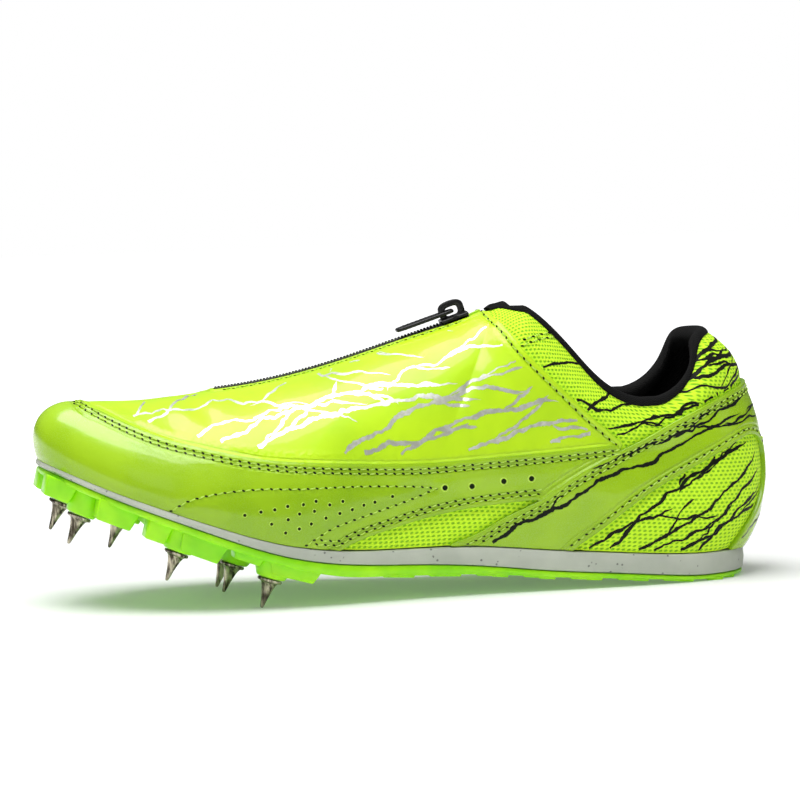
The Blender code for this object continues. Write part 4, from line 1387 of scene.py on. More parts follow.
@dataclass(frozen=True)
class Stitching:
    """Rows of lockstitch: bent threads with a needle hole at each end."""

    pitch: float = 0.0034
    thread: float = 0.00026
    rise: float = 0.00034
    slant: float = 0.16
    hole_long: float = 0.00062
    hole_wide: float = 0.00036

    def thread_form(self) -> tuple[Array, Array]:
        """A thread: six-sided rings along an arc whose ends dive into the leather."""
        t = np.linspace(-1, 1, 6)[:, None]
        turn = np.linspace(0, 2 * math.pi, 6, endpoint=False)[None, :]
        thick = self.thread * np.sqrt(1 - 0.72 * t**2)
        along = t * (0.335 * self.pitch) + 0 * turn
        across = thick * np.cos(turn)
        up = self.rise * (1 - t**2) + thick * np.sin(turn) - 0.00004
        return stack(along, across, up).reshape(-1, 3), tube_faces(6, 6)[:, ::-1]

    def hole_form(self) -> tuple[Array, Array]:
        """A needle hole: an oval that stands just off the leather, dark as painted shade in the hole.
        """
        turn = np.linspace(0, 2 * math.pi, 8, endpoint=False)
        oval = stack(self.hole_long * np.cos(turn), self.hole_wide * np.sin(turn), 0.00014)
        low = stack(1.12 * oval[:, 0], 1.12 * oval[:, 1], -0.0001)
        points = np.vstack([low, oval])
        return points, np.vstack([
            tube_faces(2, 8), [[8, 9, 10, 11], [8, 11, 12, 15], [15, 12, 13, 14]],
        ])

    def sew(
        self, row: Trace, depth: Callable[[Array], Array], shift: float = 0.0
    ) -> tuple[Net, Net]:
        """Sew along a line.

        Args:
            row: The line.
            depth: Height of the leather over the last at given points.
            shift: The share of a stitch by which the row starts later.

        Returns:
            The threads and the needle holes.
        """
        fine = row.even(self.pitch / 2)
        start = int(round(shift * 2))
        place, along, across, normal = fine.frame()
        place = place + depth(place)[:, None] * normal
        turned = unit(along + self.slant * across)
        level = unit(np.cross(normal, turned))
        form, faces = self.thread_form()
        middle = slice(start + 1, None, 2)
        threads = bodies_of(
            form, faces, place[middle], (turned[middle], level[middle], normal[middle])
        )
        lean = unit(along - 0.55 * across)
        beside = unit(np.cross(normal, lean))
        form, faces = self.hole_form()
        ends = slice(start, None, 2)
        holes = bodies_of(form, faces, place[ends], (lean[ends], beside[ends], normal[ends]))
        return threads, holes


class Upper:
    """The knitted skin, its lining and the folded binding of the collar."""

    wall: float = 0.0018
    pad: float = 0.0042

    def __init__(self, finishes: dict[str, bpy.types.Material]) -> None:
        """Keep the finishes."""
        self.finishes = finishes

    def _wall(self, station: Array, rise: Array) -> Array:
        """The wall's thickness: thin at the sole, padded towards the collar."""
        back = np.clip((LAST.throat_row - LAST.fold(station)) / 2, 0, 1)
        high = np.clip((rise - 0.5) / 0.3, 0, 1)
        return self.wall + (self.pad - self.wall) * back * high

    def skin(self) -> bpy.types.Object:
        """The knitted outside, cut open under the zip."""
        sheet = Sheet(
            "knit_skin", SHAPES.throat, flat_depth(-0.0009), skin_depth, pitch=0.00125,
            last_rise=0.985, edge=0.0003, rings=2,
        )
        net, values, _, _ = sheet.net()
        piece = net.build("knit_skin", self.finishes["knit"], values=values)
        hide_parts("upper")
        return piece

    def lining(self) -> bpy.types.Object:
        """The padded black lining, inside the skin."""
        sheet = Sheet(
            "collar_lining", SHAPES.throat, flat_depth(-0.0018), flat_depth(-0.0010),
            pitch=0.0019, last_rise=0.985, edge=0.0003, rings=1,
        )
        net, values, station, rise = sheet.net()
        place = LAST.point(station, rise)
        gap = np.linalg.norm(net.points - place, axis=1)
        inner = gap > 0.0014
        extra = np.where(inner, self._wall(station, rise) - self.wall, 0.0)
        net.points -= extra[:, None] * LAST.normal(station, rise)
        piece = net.build("collar_lining", self.finishes["lining"], values=values)
        return piece

    def binding(self) -> bpy.types.Object:
        """The folded edge round the collar: a rounded band over the padded wall.

        Its section is a closed loop of places across and up the edge, carried round the
        collar in the frame of the edge's own direction, normal and wall.
        """
        around = np.linspace(-LAST.throat_row, LAST.throat_row, 260, endpoint=False)
        edge = LAST.ridge(around)
        along = unit(np.roll(edge, -1, 0) - np.roll(edge, 1, 0))
        down = unit(LAST.point(around, 0.955) - edge)
        normal = unit(np.cross(-down, along))
        normal[0] = unit(normal[1] + normal[-1])
        outer = np.array([
            (0.95, 3.3), (1.25, 2.9), (1.42, 2.0), (1.40, 0.9), (1.05, 0.0), (0.35, -0.45),
            (-0.9, -0.62), (-2.3, -0.60), (-3.6, -0.25), (-4.5, 0.6), (-4.9, 1.9),
            (-4.95, 3.6), (-4.85, 5.2),
        ])
        inner = np.array([
            (-4.25, 5.3), (-4.25, 3.4), (-4.2, 1.9), (-3.8, 0.9), (-2.6, 0.35), (-0.9, 0.25),
            (0.15, 0.45), (0.55, 1.2), (0.55, 2.4), (0.60, 3.2),
        ])
        section = np.vstack([outer, inner]) * MM
        half = np.abs(edge[:, 1] - LAST.shift_y)
        narrow = np.where(np.abs(around) > 5, np.clip(half / 0.0058, 0.12, 1.0), 1.0)
        share = np.where(section[None, :, 0] < 0, narrow[:, None], 1.0)[..., None]
        points = (
            edge[:, None] + section[None, :, :1] * normal[:, None] * share
            + section[None, :, 1:] * down[:, None]
        )
        quads = tube_faces(len(around), len(section), closed=True)
        net = Net.from_quads(points.reshape(-1, 3), quads)
        run, over = run_along(edge), run_along(section)
        weave = stack(
            np.repeat(run, len(section)), np.tile(over, len(around)), np.zeros(len(net.points))
        ) / MM
        piece = net.build("binding", self.finishes["binding"], values={"weave": weave})
        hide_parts("collar_binding")
        return piece


class Panels:
    """The sewn overlays: mudguard, saddle and cover, with their stitches and holes."""

    def __init__(self, finishes: dict[str, bpy.types.Material]) -> None:
        """Keep the finishes and how the rows are sewn."""
        self.finishes = finishes
        self.sewing = Stitching()

    def _panel(self, sheet: Sheet, finish: str, node: str) -> bpy.types.Object:
        """Build one panel and let it stand for its CAD node."""
        net, values, station, rise = sheet.net()
        # The lens mask darkens the patent inside the lens: painted shade.
        lens = SHAPES.lens(LAST.point(station, rise)) if sheet.name == "toe_mudguard" else None
        values["lens"] = (
            step_up(lens, -0.0003, 0.0006) if lens is not None else np.zeros(len(station))
        )
        piece = net.build(sheet.name, self.finishes[finish], values=values)
        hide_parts(node)
        return piece

    def mudguard(self) -> bpy.types.Object:
        """The toe cap with its arms."""
        sheet = Sheet("toe_mudguard", SHAPES.mudguard, flat_depth(0.00005), mudguard_depth)
        return self._panel(sheet, "patent", "mudguard")

    def saddle(self) -> bpy.types.Object:
        """The strap over the quarter and round the heel."""
        sheet = Sheet(
            "saddle_strap", SHAPES.saddle, flat_depth(0.00005), overlay_depth(SADDLE_THICK)
        )
        return self._panel(sheet, "patent", "heel_saddle")

    def cover(self) -> bpy.types.Object:
        """The glossy cover, slit for the zip."""
        sheet = Sheet("instep_cover", SHAPES.shroud, flat_depth(0.00005), cover_depth)
        return self._panel(sheet, "cover", "shroud")

    def rows(self) -> list[tuple[Trace, Callable[[Array], Array], float, bool]]:
        """Every sewn row: its line, the height it lies at, its start, and if it's on knit."""
        found = []
        thick = (
            lambda points: mudguard_depth(points, SHAPES.mudguard(points)),
            lambda points: overlay_depth(SADDLE_THICK)(points, SHAPES.saddle(points)),
            lambda points: cover_depth(points, SHAPES.shroud(points)),
            lambda points: skin_depth(points, points[..., 0]),
        )
        for side in Side:
            left = side.value
            lines = (
                (MUDGUARD_TOP[1:], 0, ROWS, 1),
                (ARM_UNDER, 0, ROWS, -1),
                (SADDLE_TOP[:-1], 1, ROWS, 1),
                (SADDLE_WINDOW[1:9], 1, (ROWS[0],), -1),
                (LENS_TOP, 0, (0.0,), 1),
                (LENS_UNDER[:-1], 0, (0.0,), 1),
                (COVER_BACK[1:], 2, (COVER_ROW,), 1),
                (COLLAR_SEAM, 3, (0.0009, -0.0009), 1),
            )
            for points, layer, offsets, inward in lines:
                line = Trace.from_side(points, side, 0.0008)
                for number, offset in enumerate(offsets):
                    row = line.shifted(offset * inward * left) if offset else line
                    found.append((row, thick[layer], 0.5 * number, layer == 3))
            top = LAST.crest_row(np.linspace(0.745, 0.40, 160))
            station = top if side is Side.OUTER else 2 * LAST.toe_row - top
            crest = Trace(station, np.full(len(top), 0.999))
            found.append((crest.shifted(CREST_ROW * left), thick[2], 0.0, False))
        return found

    def stitches(self) -> None:
        """Threads and needle holes of all the rows, clipped to their own panels."""
        threads, holes = [], []
        for row, depth, shift, knitted in self.rows():
            place = LAST.point(row.station, row.rise)
            inside = covered(place) * (-1 if knitted else 1)
            keep = (inside > 0.0006) & (row.rise > 0.012) & (row.rise < 0.9985)
            row = row.where(keep)
            if len(row.station) < 12:
                continue
            thread, hole = self.sewing.sew(row, depth, shift)
            threads.append(thread)
            holes.append(hole)
        piece = Net.joined(threads).build("panel_threads", self.finishes["thread"])
        piece = Net.joined(holes).build("needle_holes", self.finishes["hole"])

    def perforations(self) -> None:
        """The punched holes of the mudguard: dishes dark with painted shade, inside raised rings."""
        turn = np.linspace(0, 2 * math.pi, 14, endpoint=False)
        rims, dishes = [], []
        for table, radius in ((SMALL_HOLES, 0.00062), (LARGE_HOLES, 0.00105)):
            profile = np.array([
                (1.55, -0.00004), (1.42, 0.00007), (1.22, 0.00013), (1.02, 0.00010), (0.94, 0.0),
            ])
            ring = np.concatenate([
                stack(radius * r * np.cos(turn), radius * r * np.sin(turn), z) for r, z in profile
            ])
            disc = np.concatenate([
                stack(radius * r * np.cos(turn), radius * r * np.sin(turn), z)
                for r, z in ((1.0, 0.00005), (0.5, 0.00004))
            ])
            inner = 14 + np.arange(14)
            disc_faces = np.vstack([
                tube_faces(2, 14),
                [[inner[i], inner[i + 1], inner[12 - i], inner[13 - i]] for i in range(6)],
            ])
            for side in Side:
                places = LAST.side_view(table, steps=1)
                station, rise = LAST.locate(places, side)
                base, normal = LAST.point(station, rise), LAST.normal(station, rise)
                base = base + mudguard_depth(base, SHAPES.mudguard(base))[:, None] * normal
                along = unit(np.cross(normal, np.array([0.0, 0.0, 1.0])))
                axes = (along, np.cross(normal, along), normal)
                rims.append(bodies_of(ring, tube_faces(5, 14), base, axes))
                dishes.append(bodies_of(disc, disc_faces, base, axes))
        piece = Net.joined(rims).build("perforation_rims", self.finishes["rim"])
        piece = Net.joined(dishes).build("perforations", self.finishes["hole"])


@dataclass(frozen=True)
class Streak:
    """A jagged printed line between two places in the side view."""

    start: tuple[float, float]
    end: tuple[float, float]
    width: float
    bow: float = 0.0
    twigs: int = 2


class Crackle:
    """The printed lightning streaks, in a layout of their own."""

    silver = (
        Streak((0.930, 0.640), (0.640, 0.700), 0.0013, 0.004, 1),
        Streak((0.900, 0.600), (0.520, 0.790), 0.0015, 0.008, 2),
        Streak((0.850, 0.575), (0.560, 0.700), 0.0013, 0.004, 1),
        Streak((0.810, 0.550), (0.430, 0.760), 0.0019, 0.006, 2),
        Streak((0.760, 0.520), (0.400, 0.700), 0.0021, 0.008, 2),
        Streak((0.700, 0.505), (0.420, 0.620), 0.0017, -0.004, 2),
        Streak((0.620, 0.495), (0.330, 0.720), 0.0019, 0.008, 2),
        Streak((0.540, 0.485), (0.290, 0.680), 0.0017, 0.006, 2),
        Streak((0.460, 0.485), (0.255, 0.610), 0.0016, 0.004, 2),
        Streak((0.370, 0.485), (0.225, 0.560), 0.0013, 0.002, 1),
        Streak((0.720, 0.700), (0.470, 0.850), 0.0011, 0.006, 1),
        Streak((0.600, 0.800), (0.420, 0.930), 0.0010, 0.004, 1),
        Streak((0.530, 0.740), (0.350, 0.890), 0.0013, 0.004, 2),
        Streak((0.450, 0.700), (0.335, 0.810), 0.0010, 0.003, 1),
    )
    knit_black = (
        Streak((0.330, 0.790), (0.190, 0.775), 0.0011, 0.003, 1),
        Streak((0.300, 0.705), (0.120, 0.730), 0.0012, -0.006, 1),
        Streak((0.265, 0.625), (0.020, 0.800), 0.0014, 0.006, 1),
        Streak((0.235, 0.585), (0.000, 0.760), 0.0013, -0.006, 1),
        Streak((0.120, 0.690), (-0.005, 0.800), 0.0011, -0.003, 1),
        Streak((0.105, 0.760), (0.010, 0.850), 0.0011, 0.002, 1),
        Streak((0.210, 0.550), (0.080, 0.650), 0.0010, 0.000, 1),
        Streak((0.092, 0.800), (0.004, 0.872), 0.0015, 0.002, 1),
        Streak((0.098, 0.730), (-0.006, 0.815), 0.0016, 0.003, 1),
        Streak((0.140, 0.668), (-0.016, 0.765), 0.0015, 0.004, 1),
    )
    strap_black = (
        Streak((0.430, 0.150), (0.020, 0.600), 0.0014, 0.002, 1),
        Streak((0.250, 0.435), (0.000, 0.680), 0.0012, -0.002, 1),
        Streak((0.120, 0.580), (-0.010, 0.620), 0.0010, -0.002, 1),
        Streak((0.010, 0.600), (-0.060, 0.630), 0.0010, 0.0, 1),
        Streak((0.000, 0.330), (-0.060, 0.400), 0.0010, 0.0, 1),
        Streak((0.030, 0.150), (-0.050, 0.240), 0.0011, 0.0, 1),
    )
    window_black = (
        Streak((0.270, 0.120), (0.130, 0.280), 0.0013, 0.002, 1),
        Streak((0.235, 0.120), (0.010, 0.500), 0.0015, 0.004, 1),
        Streak((0.205, 0.115), (-0.005, 0.460), 0.0014, -0.004, 1),
        Streak((0.172, 0.110), (-0.010, 0.400), 0.0013, -0.004, 0),
        Streak((0.140, 0.105), (-0.015, 0.340), 0.0013, -0.003, 1),
        Streak((0.095, 0.100), (-0.015, 0.270), 0.0013, 0.003, 1),
        Streak((0.120, 0.330), (0.040, 0.480), 0.0011, 0.002, 1),
    )

    def __init__(self, finishes: dict[str, bpy.types.Material]) -> None:
        """Keep the finishes and seed the layout."""
        self.finishes = finishes
        self.chance = np.random.default_rng(27)

    def _jag(self, run: Array) -> Array:
        """A jagged line: straight pieces between random heights at three pitches."""
        total = np.zeros(len(run))
        for pitch, size in ((0.0110, 0.00110), (0.0042, 0.00050), (0.0017, 0.00024)):
            knots = np.arange(0, run[-1] + 2 * pitch, pitch)
            total += np.interp(run, knots, self.chance.normal(0, size, len(knots)))
        return total

    def _path(self, start: Array, end: Array, bow: float, wide: float) -> tuple[Array, Array]:
        """A jagged path in the side view, in metres, and its half width along it."""
        run = end - start
        long = float(np.linalg.norm(run))
        t = np.linspace(0, 1, max(8, int(long / 0.0006)))
        side = np.array([-run[1], run[0]]) / long
        off = bow * 4 * t * (1 - t) + self._jag(t * long) * np.sin(math.pi * t) ** 0.3
        knots = np.linspace(0, 1, max(6, int(long / 0.0022)))
        swell = np.interp(t, knots, self.chance.uniform(0.5, 1.2, len(knots)))
        ends = np.clip(np.minimum(t, 1 - t) * 9, 0, 1) ** 0.7
        return start + t[:, None] * run + off[:, None] * side, 0.5 * wide * swell * ends

    def _paths(self, streak: Streak) -> list[tuple[Array, Array]]:
        """The streak's own path and those of its twigs."""
        a, b = (LAST.side_view((p, p), steps=1)[0] for p in (streak.start, streak.end))
        main = self._path(a, b, streak.bow, streak.width)
        found = [main]
        for _ in range(streak.twigs):
            at = int(self.chance.uniform(0.12, 0.8) * len(main[0]))
            ahead = min(at + 25, len(main[0]) - 1)
            run = main[0][ahead] - main[0][at]
            if np.linalg.norm(run) < 1e-4:
                continue
            angle = self.chance.choice((-1, 1)) * self.chance.uniform(0.18, 0.45)
            turn = np.array([[math.cos(angle), -math.sin(angle)], [math.sin(angle), math.cos(angle)]])
            reach = self.chance.uniform(0.012, 0.028)
            end = main[0][at] + turn @ (run / np.linalg.norm(run)) * reach
            found.append(self._path(main[0][at], end, 0.0, 0.7 * streak.width))
        return found

    def _ribbons(
        self, paths: Sequence[tuple[Array, Array]], side: Side,
        depth: Callable[[Array], Array], field: Field, margin: float,
    ) -> Net:
        """Strips along paths, three places wide, laid just over their layer.

        All the paths are one long run of places. Quads join a place to the next where both
        are on the same path and inside the field.
        """
        line = np.concatenate([path for path, _ in paths])
        half = np.concatenate([half for _, half in paths])
        number = np.repeat(np.arange(len(paths)), [len(path) for path, _ in paths])
        trace = Trace(*LAST.locate(line, side))
        place, _, across, _ = trace.frame()
        jitter = 1 + 0.25 * self.chance.uniform(-1, 1, (3, len(line)))
        rows = []
        fine = np.linalg.norm(place[:, [0, 2]] - line, axis=1) < 0.0005
        for k, offset in enumerate((-1.0, 0.0, 1.0)):
            target = place + (offset * half * jitter[k])[:, None] * across
            station, rise = LAST.follow(target, trace.station, trace.rise)
            base = LAST.point(station, rise)
            fine &= (field(base) > margin) & (rise < 0.97) & (rise > 0.012)
            rows.append(base + (depth(base) + 0.00005)[:, None] * LAST.normal(station, rise))
        near = np.linalg.norm(np.diff(rows[1], axis=0), axis=1) < 0.004
        i = np.nonzero(fine[:-1] & fine[1:] & near & (number[:-1] == number[1:]))[0]
        count = len(line)
        quads = np.concatenate([
            np.stack([k + i, k + i + 1, k + count + i + 1, k + count + i], -1)
            for k in (0, count)
        ])
        points = np.concatenate(rows)
        face = points[quads]
        turn = np.cross(face[:, 1] - face[:, 0], face[:, 3] - face[:, 0])
        flip = (face[:, 0, 1] - LAST.shift_y) * turn[:, 1] < 0
        quads[flip] = quads[flip][:, ::-1]
        used, compact = np.unique(quads, return_inverse=True)
        return Net.from_quads(points[used], compact.reshape(-1, 4))

    def print_all(self) -> None:
        """Lay every streak on both sides of the shoe."""
        plan = (
            ("silver_streaks", self.silver, SHAPES.shroud, 0.0045,
             lambda p: cover_depth(p, SHAPES.shroud(p)), "foil", "patent_lime"),
            ("knit_streaks", self.knit_black, lambda p: -covered(p), 0.0003,
             lambda p: skin_depth(p, p[..., 0]), "ink", "mesh_green"),
            ("strap_streaks", self.strap_black, SHAPES.saddle, 0.0004,
             lambda p: overlay_depth(SADDLE_THICK)(p, SHAPES.saddle(p)), "ink", "patent_olive"),
            ("window_streaks", self.window_black, lambda p: -covered(p), 0.0003,
             lambda p: skin_depth(p, p[..., 0]), "ink", "mesh_green"),
        )
        for name, streaks, field, margin, depth, finish, slot in plan:
            nets = []
            for side in Side:
                paths = [path for streak in streaks for path in self._paths(streak)]
                nets.append(self._ribbons(paths, side, depth, field, margin))
            piece = Net.joined(nets).build(name, self.finishes[finish])


class Sole:
    """The insole, midsole, outsole with its lugs and seats, and the spikes."""

    fit: float = 0.0003
    foam: float = 0.0082
    ledge: float = 0.0018
    tread: float = 0.0022
    step: float = 0.0007
    lug: float = 0.0068
    taper: float = 0.80
    spike: float = 0.0112
    flange: float = 0.0046
    tip: float = 0.0007
    seat: float = 0.0062
    heel_tuck: float = 0.0016

    def __init__(self, finishes: dict[str, bpy.types.Material]) -> None:
        """Keep the finishes and the stations of the rings."""
        self.finishes = finishes
        self.around = LAST.even_stations(0.0022)

    def ring(self, out: float, below: Union[Array, float]) -> Array:
        """A ring that follows the feather line, out from it and below it."""
        tuck = self.heel_tuck * bell(LAST.fold(self.around), 0.0, 1.3)
        out = out - tuck * (out > 0)
        ring = LAST.feather(self.around) + out[:, None] * LAST.outward(self.around)
        ring[:, 2] -= below
        return ring

    def midsole(self) -> bpy.types.Object:
        """The foam: a crowned wall between two rounded edges."""
        deep = self.foam * LAST.read("foam", self.around)
        ledge, round_by = self.ledge, 0.0006
        rings = [
            self.ring(ledge - 4 * round_by, self.fit),
            self.ring(ledge - round_by, self.fit),
            self.ring(ledge - 0.3 * round_by, self.fit + 0.3 * round_by),
            self.ring(ledge, self.fit + round_by),
            self.ring(ledge + 0.15 * ledge, self.fit + 0.5 * deep),
            self.ring(ledge - 0.1 * ledge, self.fit + deep - 0.8 * round_by),
            self.ring(ledge - 0.4 * ledge, self.fit + deep - 0.2 * round_by),
            self.ring(ledge - 0.7 * ledge, self.fit + deep),
            self.ring(-0.002, self.fit + deep),
        ]
        net = closed_tube(np.array(rings), capped_back=True)
        piece = net.build("foam_midsole", self.finishes["foam"])
        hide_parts("midsole")
        return piece

    def insole(self) -> bpy.types.Object:
        """The sock liner, cupped round the heel and soft at its edge."""
        inset = -0.0023
        rings = [
            self.ring(inset - 0.012, -0.0026), self.ring(inset - 0.004, -0.0028),
            self.ring(inset - 0.0010, -0.0034), self.ring(inset, -0.0030),
            self.ring(inset, -0.0004), self.ring(inset - 0.001, 0.0),
        ]
        net = closed_tube(np.array(rings), capped_back=True)
        weave = np.stack([net.points[:, 0], net.points[:, 1], 0 * net.points[:, 2]], -1) / MM
        piece = net.build("sock_liner", self.finishes["liner"], values={"weave": weave})
        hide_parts("insole")
        return piece

    def plate(self, along: float) -> tuple[float, float]:
        """Height and forward slope of the outsole's underside at a share of its length."""
        def height(share: float) -> float:
            at = LAST.row_at(min(max(share, 0.0), 1.0))
            foam, tread = LAST.read("foam", at)[0], LAST.read("tread", at)[0]
            deep = self.foam * foam + self.tread * tread + 2 * self.fit
            return float(LAST.feather(at)[0, 2] - deep)

        rise = height(along + 0.01) - height(along - 0.01)
        return height(along), math.atan2(rise, 0.02 * LAST.length)

    def place(self, along: float, across: float) -> Matrix:
        """Position and turn of a lug or a spike's seat."""
        height, slope = self.plate(along)
        spot = Vector((LAST.x_at(along), LAST.ball * across + LAST.shift_y, height))
        return Matrix.Translation(spot) @ Matrix.Rotation(slope, 4, "Y")

    def reach(self, along: float, seat: float) -> float:
        """How far a spike's seat stands below the plate."""
        if seat:
            return self.seat * seat
        height, slope = self.plate(along)
        down = (height - self.tip * math.sin(slope)) / math.cos(slope)
        return down - self.spike - self.fit

    @staticmethod
    def turned(profile: Pairs, matrix: Matrix, count: int = 28) -> Net:
        """A form turned from a profile of radii and heights round the matrix's Z."""
        radii = np.array(profile)
        turn = np.linspace(0, 2 * math.pi, count, endpoint=False)
        points = stack(
            radii[:, :1] * np.cos(turn), radii[:, :1] * np.sin(turn), radii[:, 1:]
        ).reshape(-1, 3)
        m = np.array(matrix)
        points = points @ m[:3, :3].T + m[:3, 3]
        return closed_tube(points.reshape(len(radii), count, 3), capped_back=False)

    @staticmethod
    def block(
        size: Vector, taper: float, low: float, high: float, matrix: Matrix, soft: float
    ) -> Net:
        """A tapering block with rounded edges, from low up to high."""
        bm = bmesh.new()
        for vert in bmesh.ops.create_cube(bm, size=1.0)["verts"]:
            share = taper if vert.co.z < 0 else 1.0
            vert.co = Vector((
                vert.co.x * size.x * share, vert.co.y * size.y * share,
                low if vert.co.z < 0 else high,
            ))
        bmesh.ops.bevel(
            bm, geom=bm.edges[:], offset=soft, segments=2, profile=0.5, affect="EDGES"
        )
        bmesh.ops.transform(bm, matrix=matrix, verts=bm.verts[:])
        bmesh.ops.recalc_face_normals(bm, faces=bm.faces[:])
        return Net.from_bmesh(bm)

    def outsole(self) -> bpy.types.Object:
        """The tread sheet with its pads, lugs and spike seats."""
        top = self.foam * LAST.read("foam", self.around) + 2 * self.fit
        tread = self.tread * LAST.read("tread", self.around)
        pad = 0.0007
        front = step_up(LAST.share(self.around), 0.52, 0.62)
        thick = tread - pad * (1 - front)
        out = 0.7 * self.ledge
        rings = [
            self.ring(-0.002, top), self.ring(out - 0.0003, top), self.ring(out, top + 0.0003),
            self.ring(out, top + 0.62 * thick), self.ring(out - 0.0002, top + 0.8 * thick),
            self.ring(out - 0.0005, top + 0.95 * thick), self.ring(out - 0.0010, top + thick),
            self.ring(out - 0.004, top + thick),
        ]
        nets = [closed_tube(np.array(rings), capped_back=True)]
        for along, across, long, wide, deep in LUGS:
            size = Vector((LAST.ball * long, LAST.ball * wide, 0.0))
            nets.append(self.block(
                size, self.taper, -self.lug * deep, 0.5 * self.tread,
                self.place(along, across), 0.0006,
            ))
        for along, across, seat in SPIKES:
            deep = self.reach(along, seat)
            wide, thin = self.flange + 4 * self.step, self.flange + self.step
            profile = (
                (0.6 * wide, 0.5 * self.tread), (wide, 0.5 * self.tread),
                (0.5 * (wide + thin) + 0.0004, -0.45 * deep), (thin + 0.0003, -deep + 0.0006),
                (thin, -deep + 0.0002), (thin - 0.0004, -deep), (0.5 * thin, -deep),
            )
            nets.append(self.turned(profile, self.place(along, across)))
        nets += self.pads(pad)
        piece = Net.joined(nets).build("tread_plate", self.finishes["rubber"], sharp=50.0)
        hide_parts("outsole")
        return piece

    def pads(self, pad: float) -> list[Net]:
        """Low tread pads from the heel to the waist, in staggered rows."""
        nets = []
        for number, along in enumerate(np.arange(0.035, 0.565, 0.034)):
            at = LAST.row_at(along)
            outer = float(LAST.feather(at)[0, 1]) - 0.6 * self.ledge
            inner = float(LAST.feather(2 * LAST.toe_row - at)[0, 1]) + 0.6 * self.ledge
            count = 3 if along < 0.06 else 4
            wide = (inner - outer) / count
            height, slope = self.plate(float(along))
            for i in range(count):
                middle = outer + (i + 0.5) * wide
                stagger = 0.0016 * (1 if (i + number) % 2 else -1)
                spot = Vector((LAST.x_at(float(along)) + stagger, middle, height))
                matrix = Matrix.Translation(spot) @ Matrix.Rotation(slope, 4, "Y")
                size = Vector((0.0064, wide - (0.0015 if 0 < i < count - 1 else 0.0008), 0.0))
                nets.append(self.block(size, 0.92, 0.0, pad + 0.0004, matrix, 0.00018))
        return nets

    def spikes(self) -> None:
        """The seven turned spikes: a dished flange and a needle that tapers in a curve."""
        shape = (
            (1.2, -0.02), (4.25, -0.02), (4.6, -0.22), (4.6, -0.85), (4.35, -1.15),
            (3.35, -1.45), (2.9, -1.95), (2.45, -3.0), (2.05, -4.3), (1.65, -5.8),
            (1.30, -7.3), (1.02, -8.8), (0.78, -10.0), (0.60, -10.8), (0.42, -11.1),
            (0.18, -11.2),
        )
        profile = [(radius * MM, height * MM) for radius, height in shape]
        for number, (along, across, seat) in enumerate(SPIKES, 1):
            down = Matrix.Translation((0, 0, -self.reach(along, seat) - self.fit))
            net = self.turned(profile, self.place(along, across) @ down)
            piece = net.build(f"turned_spike_{number}", self.finishes["steel"], sharp=60.0)
            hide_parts(f"spike_{number}")


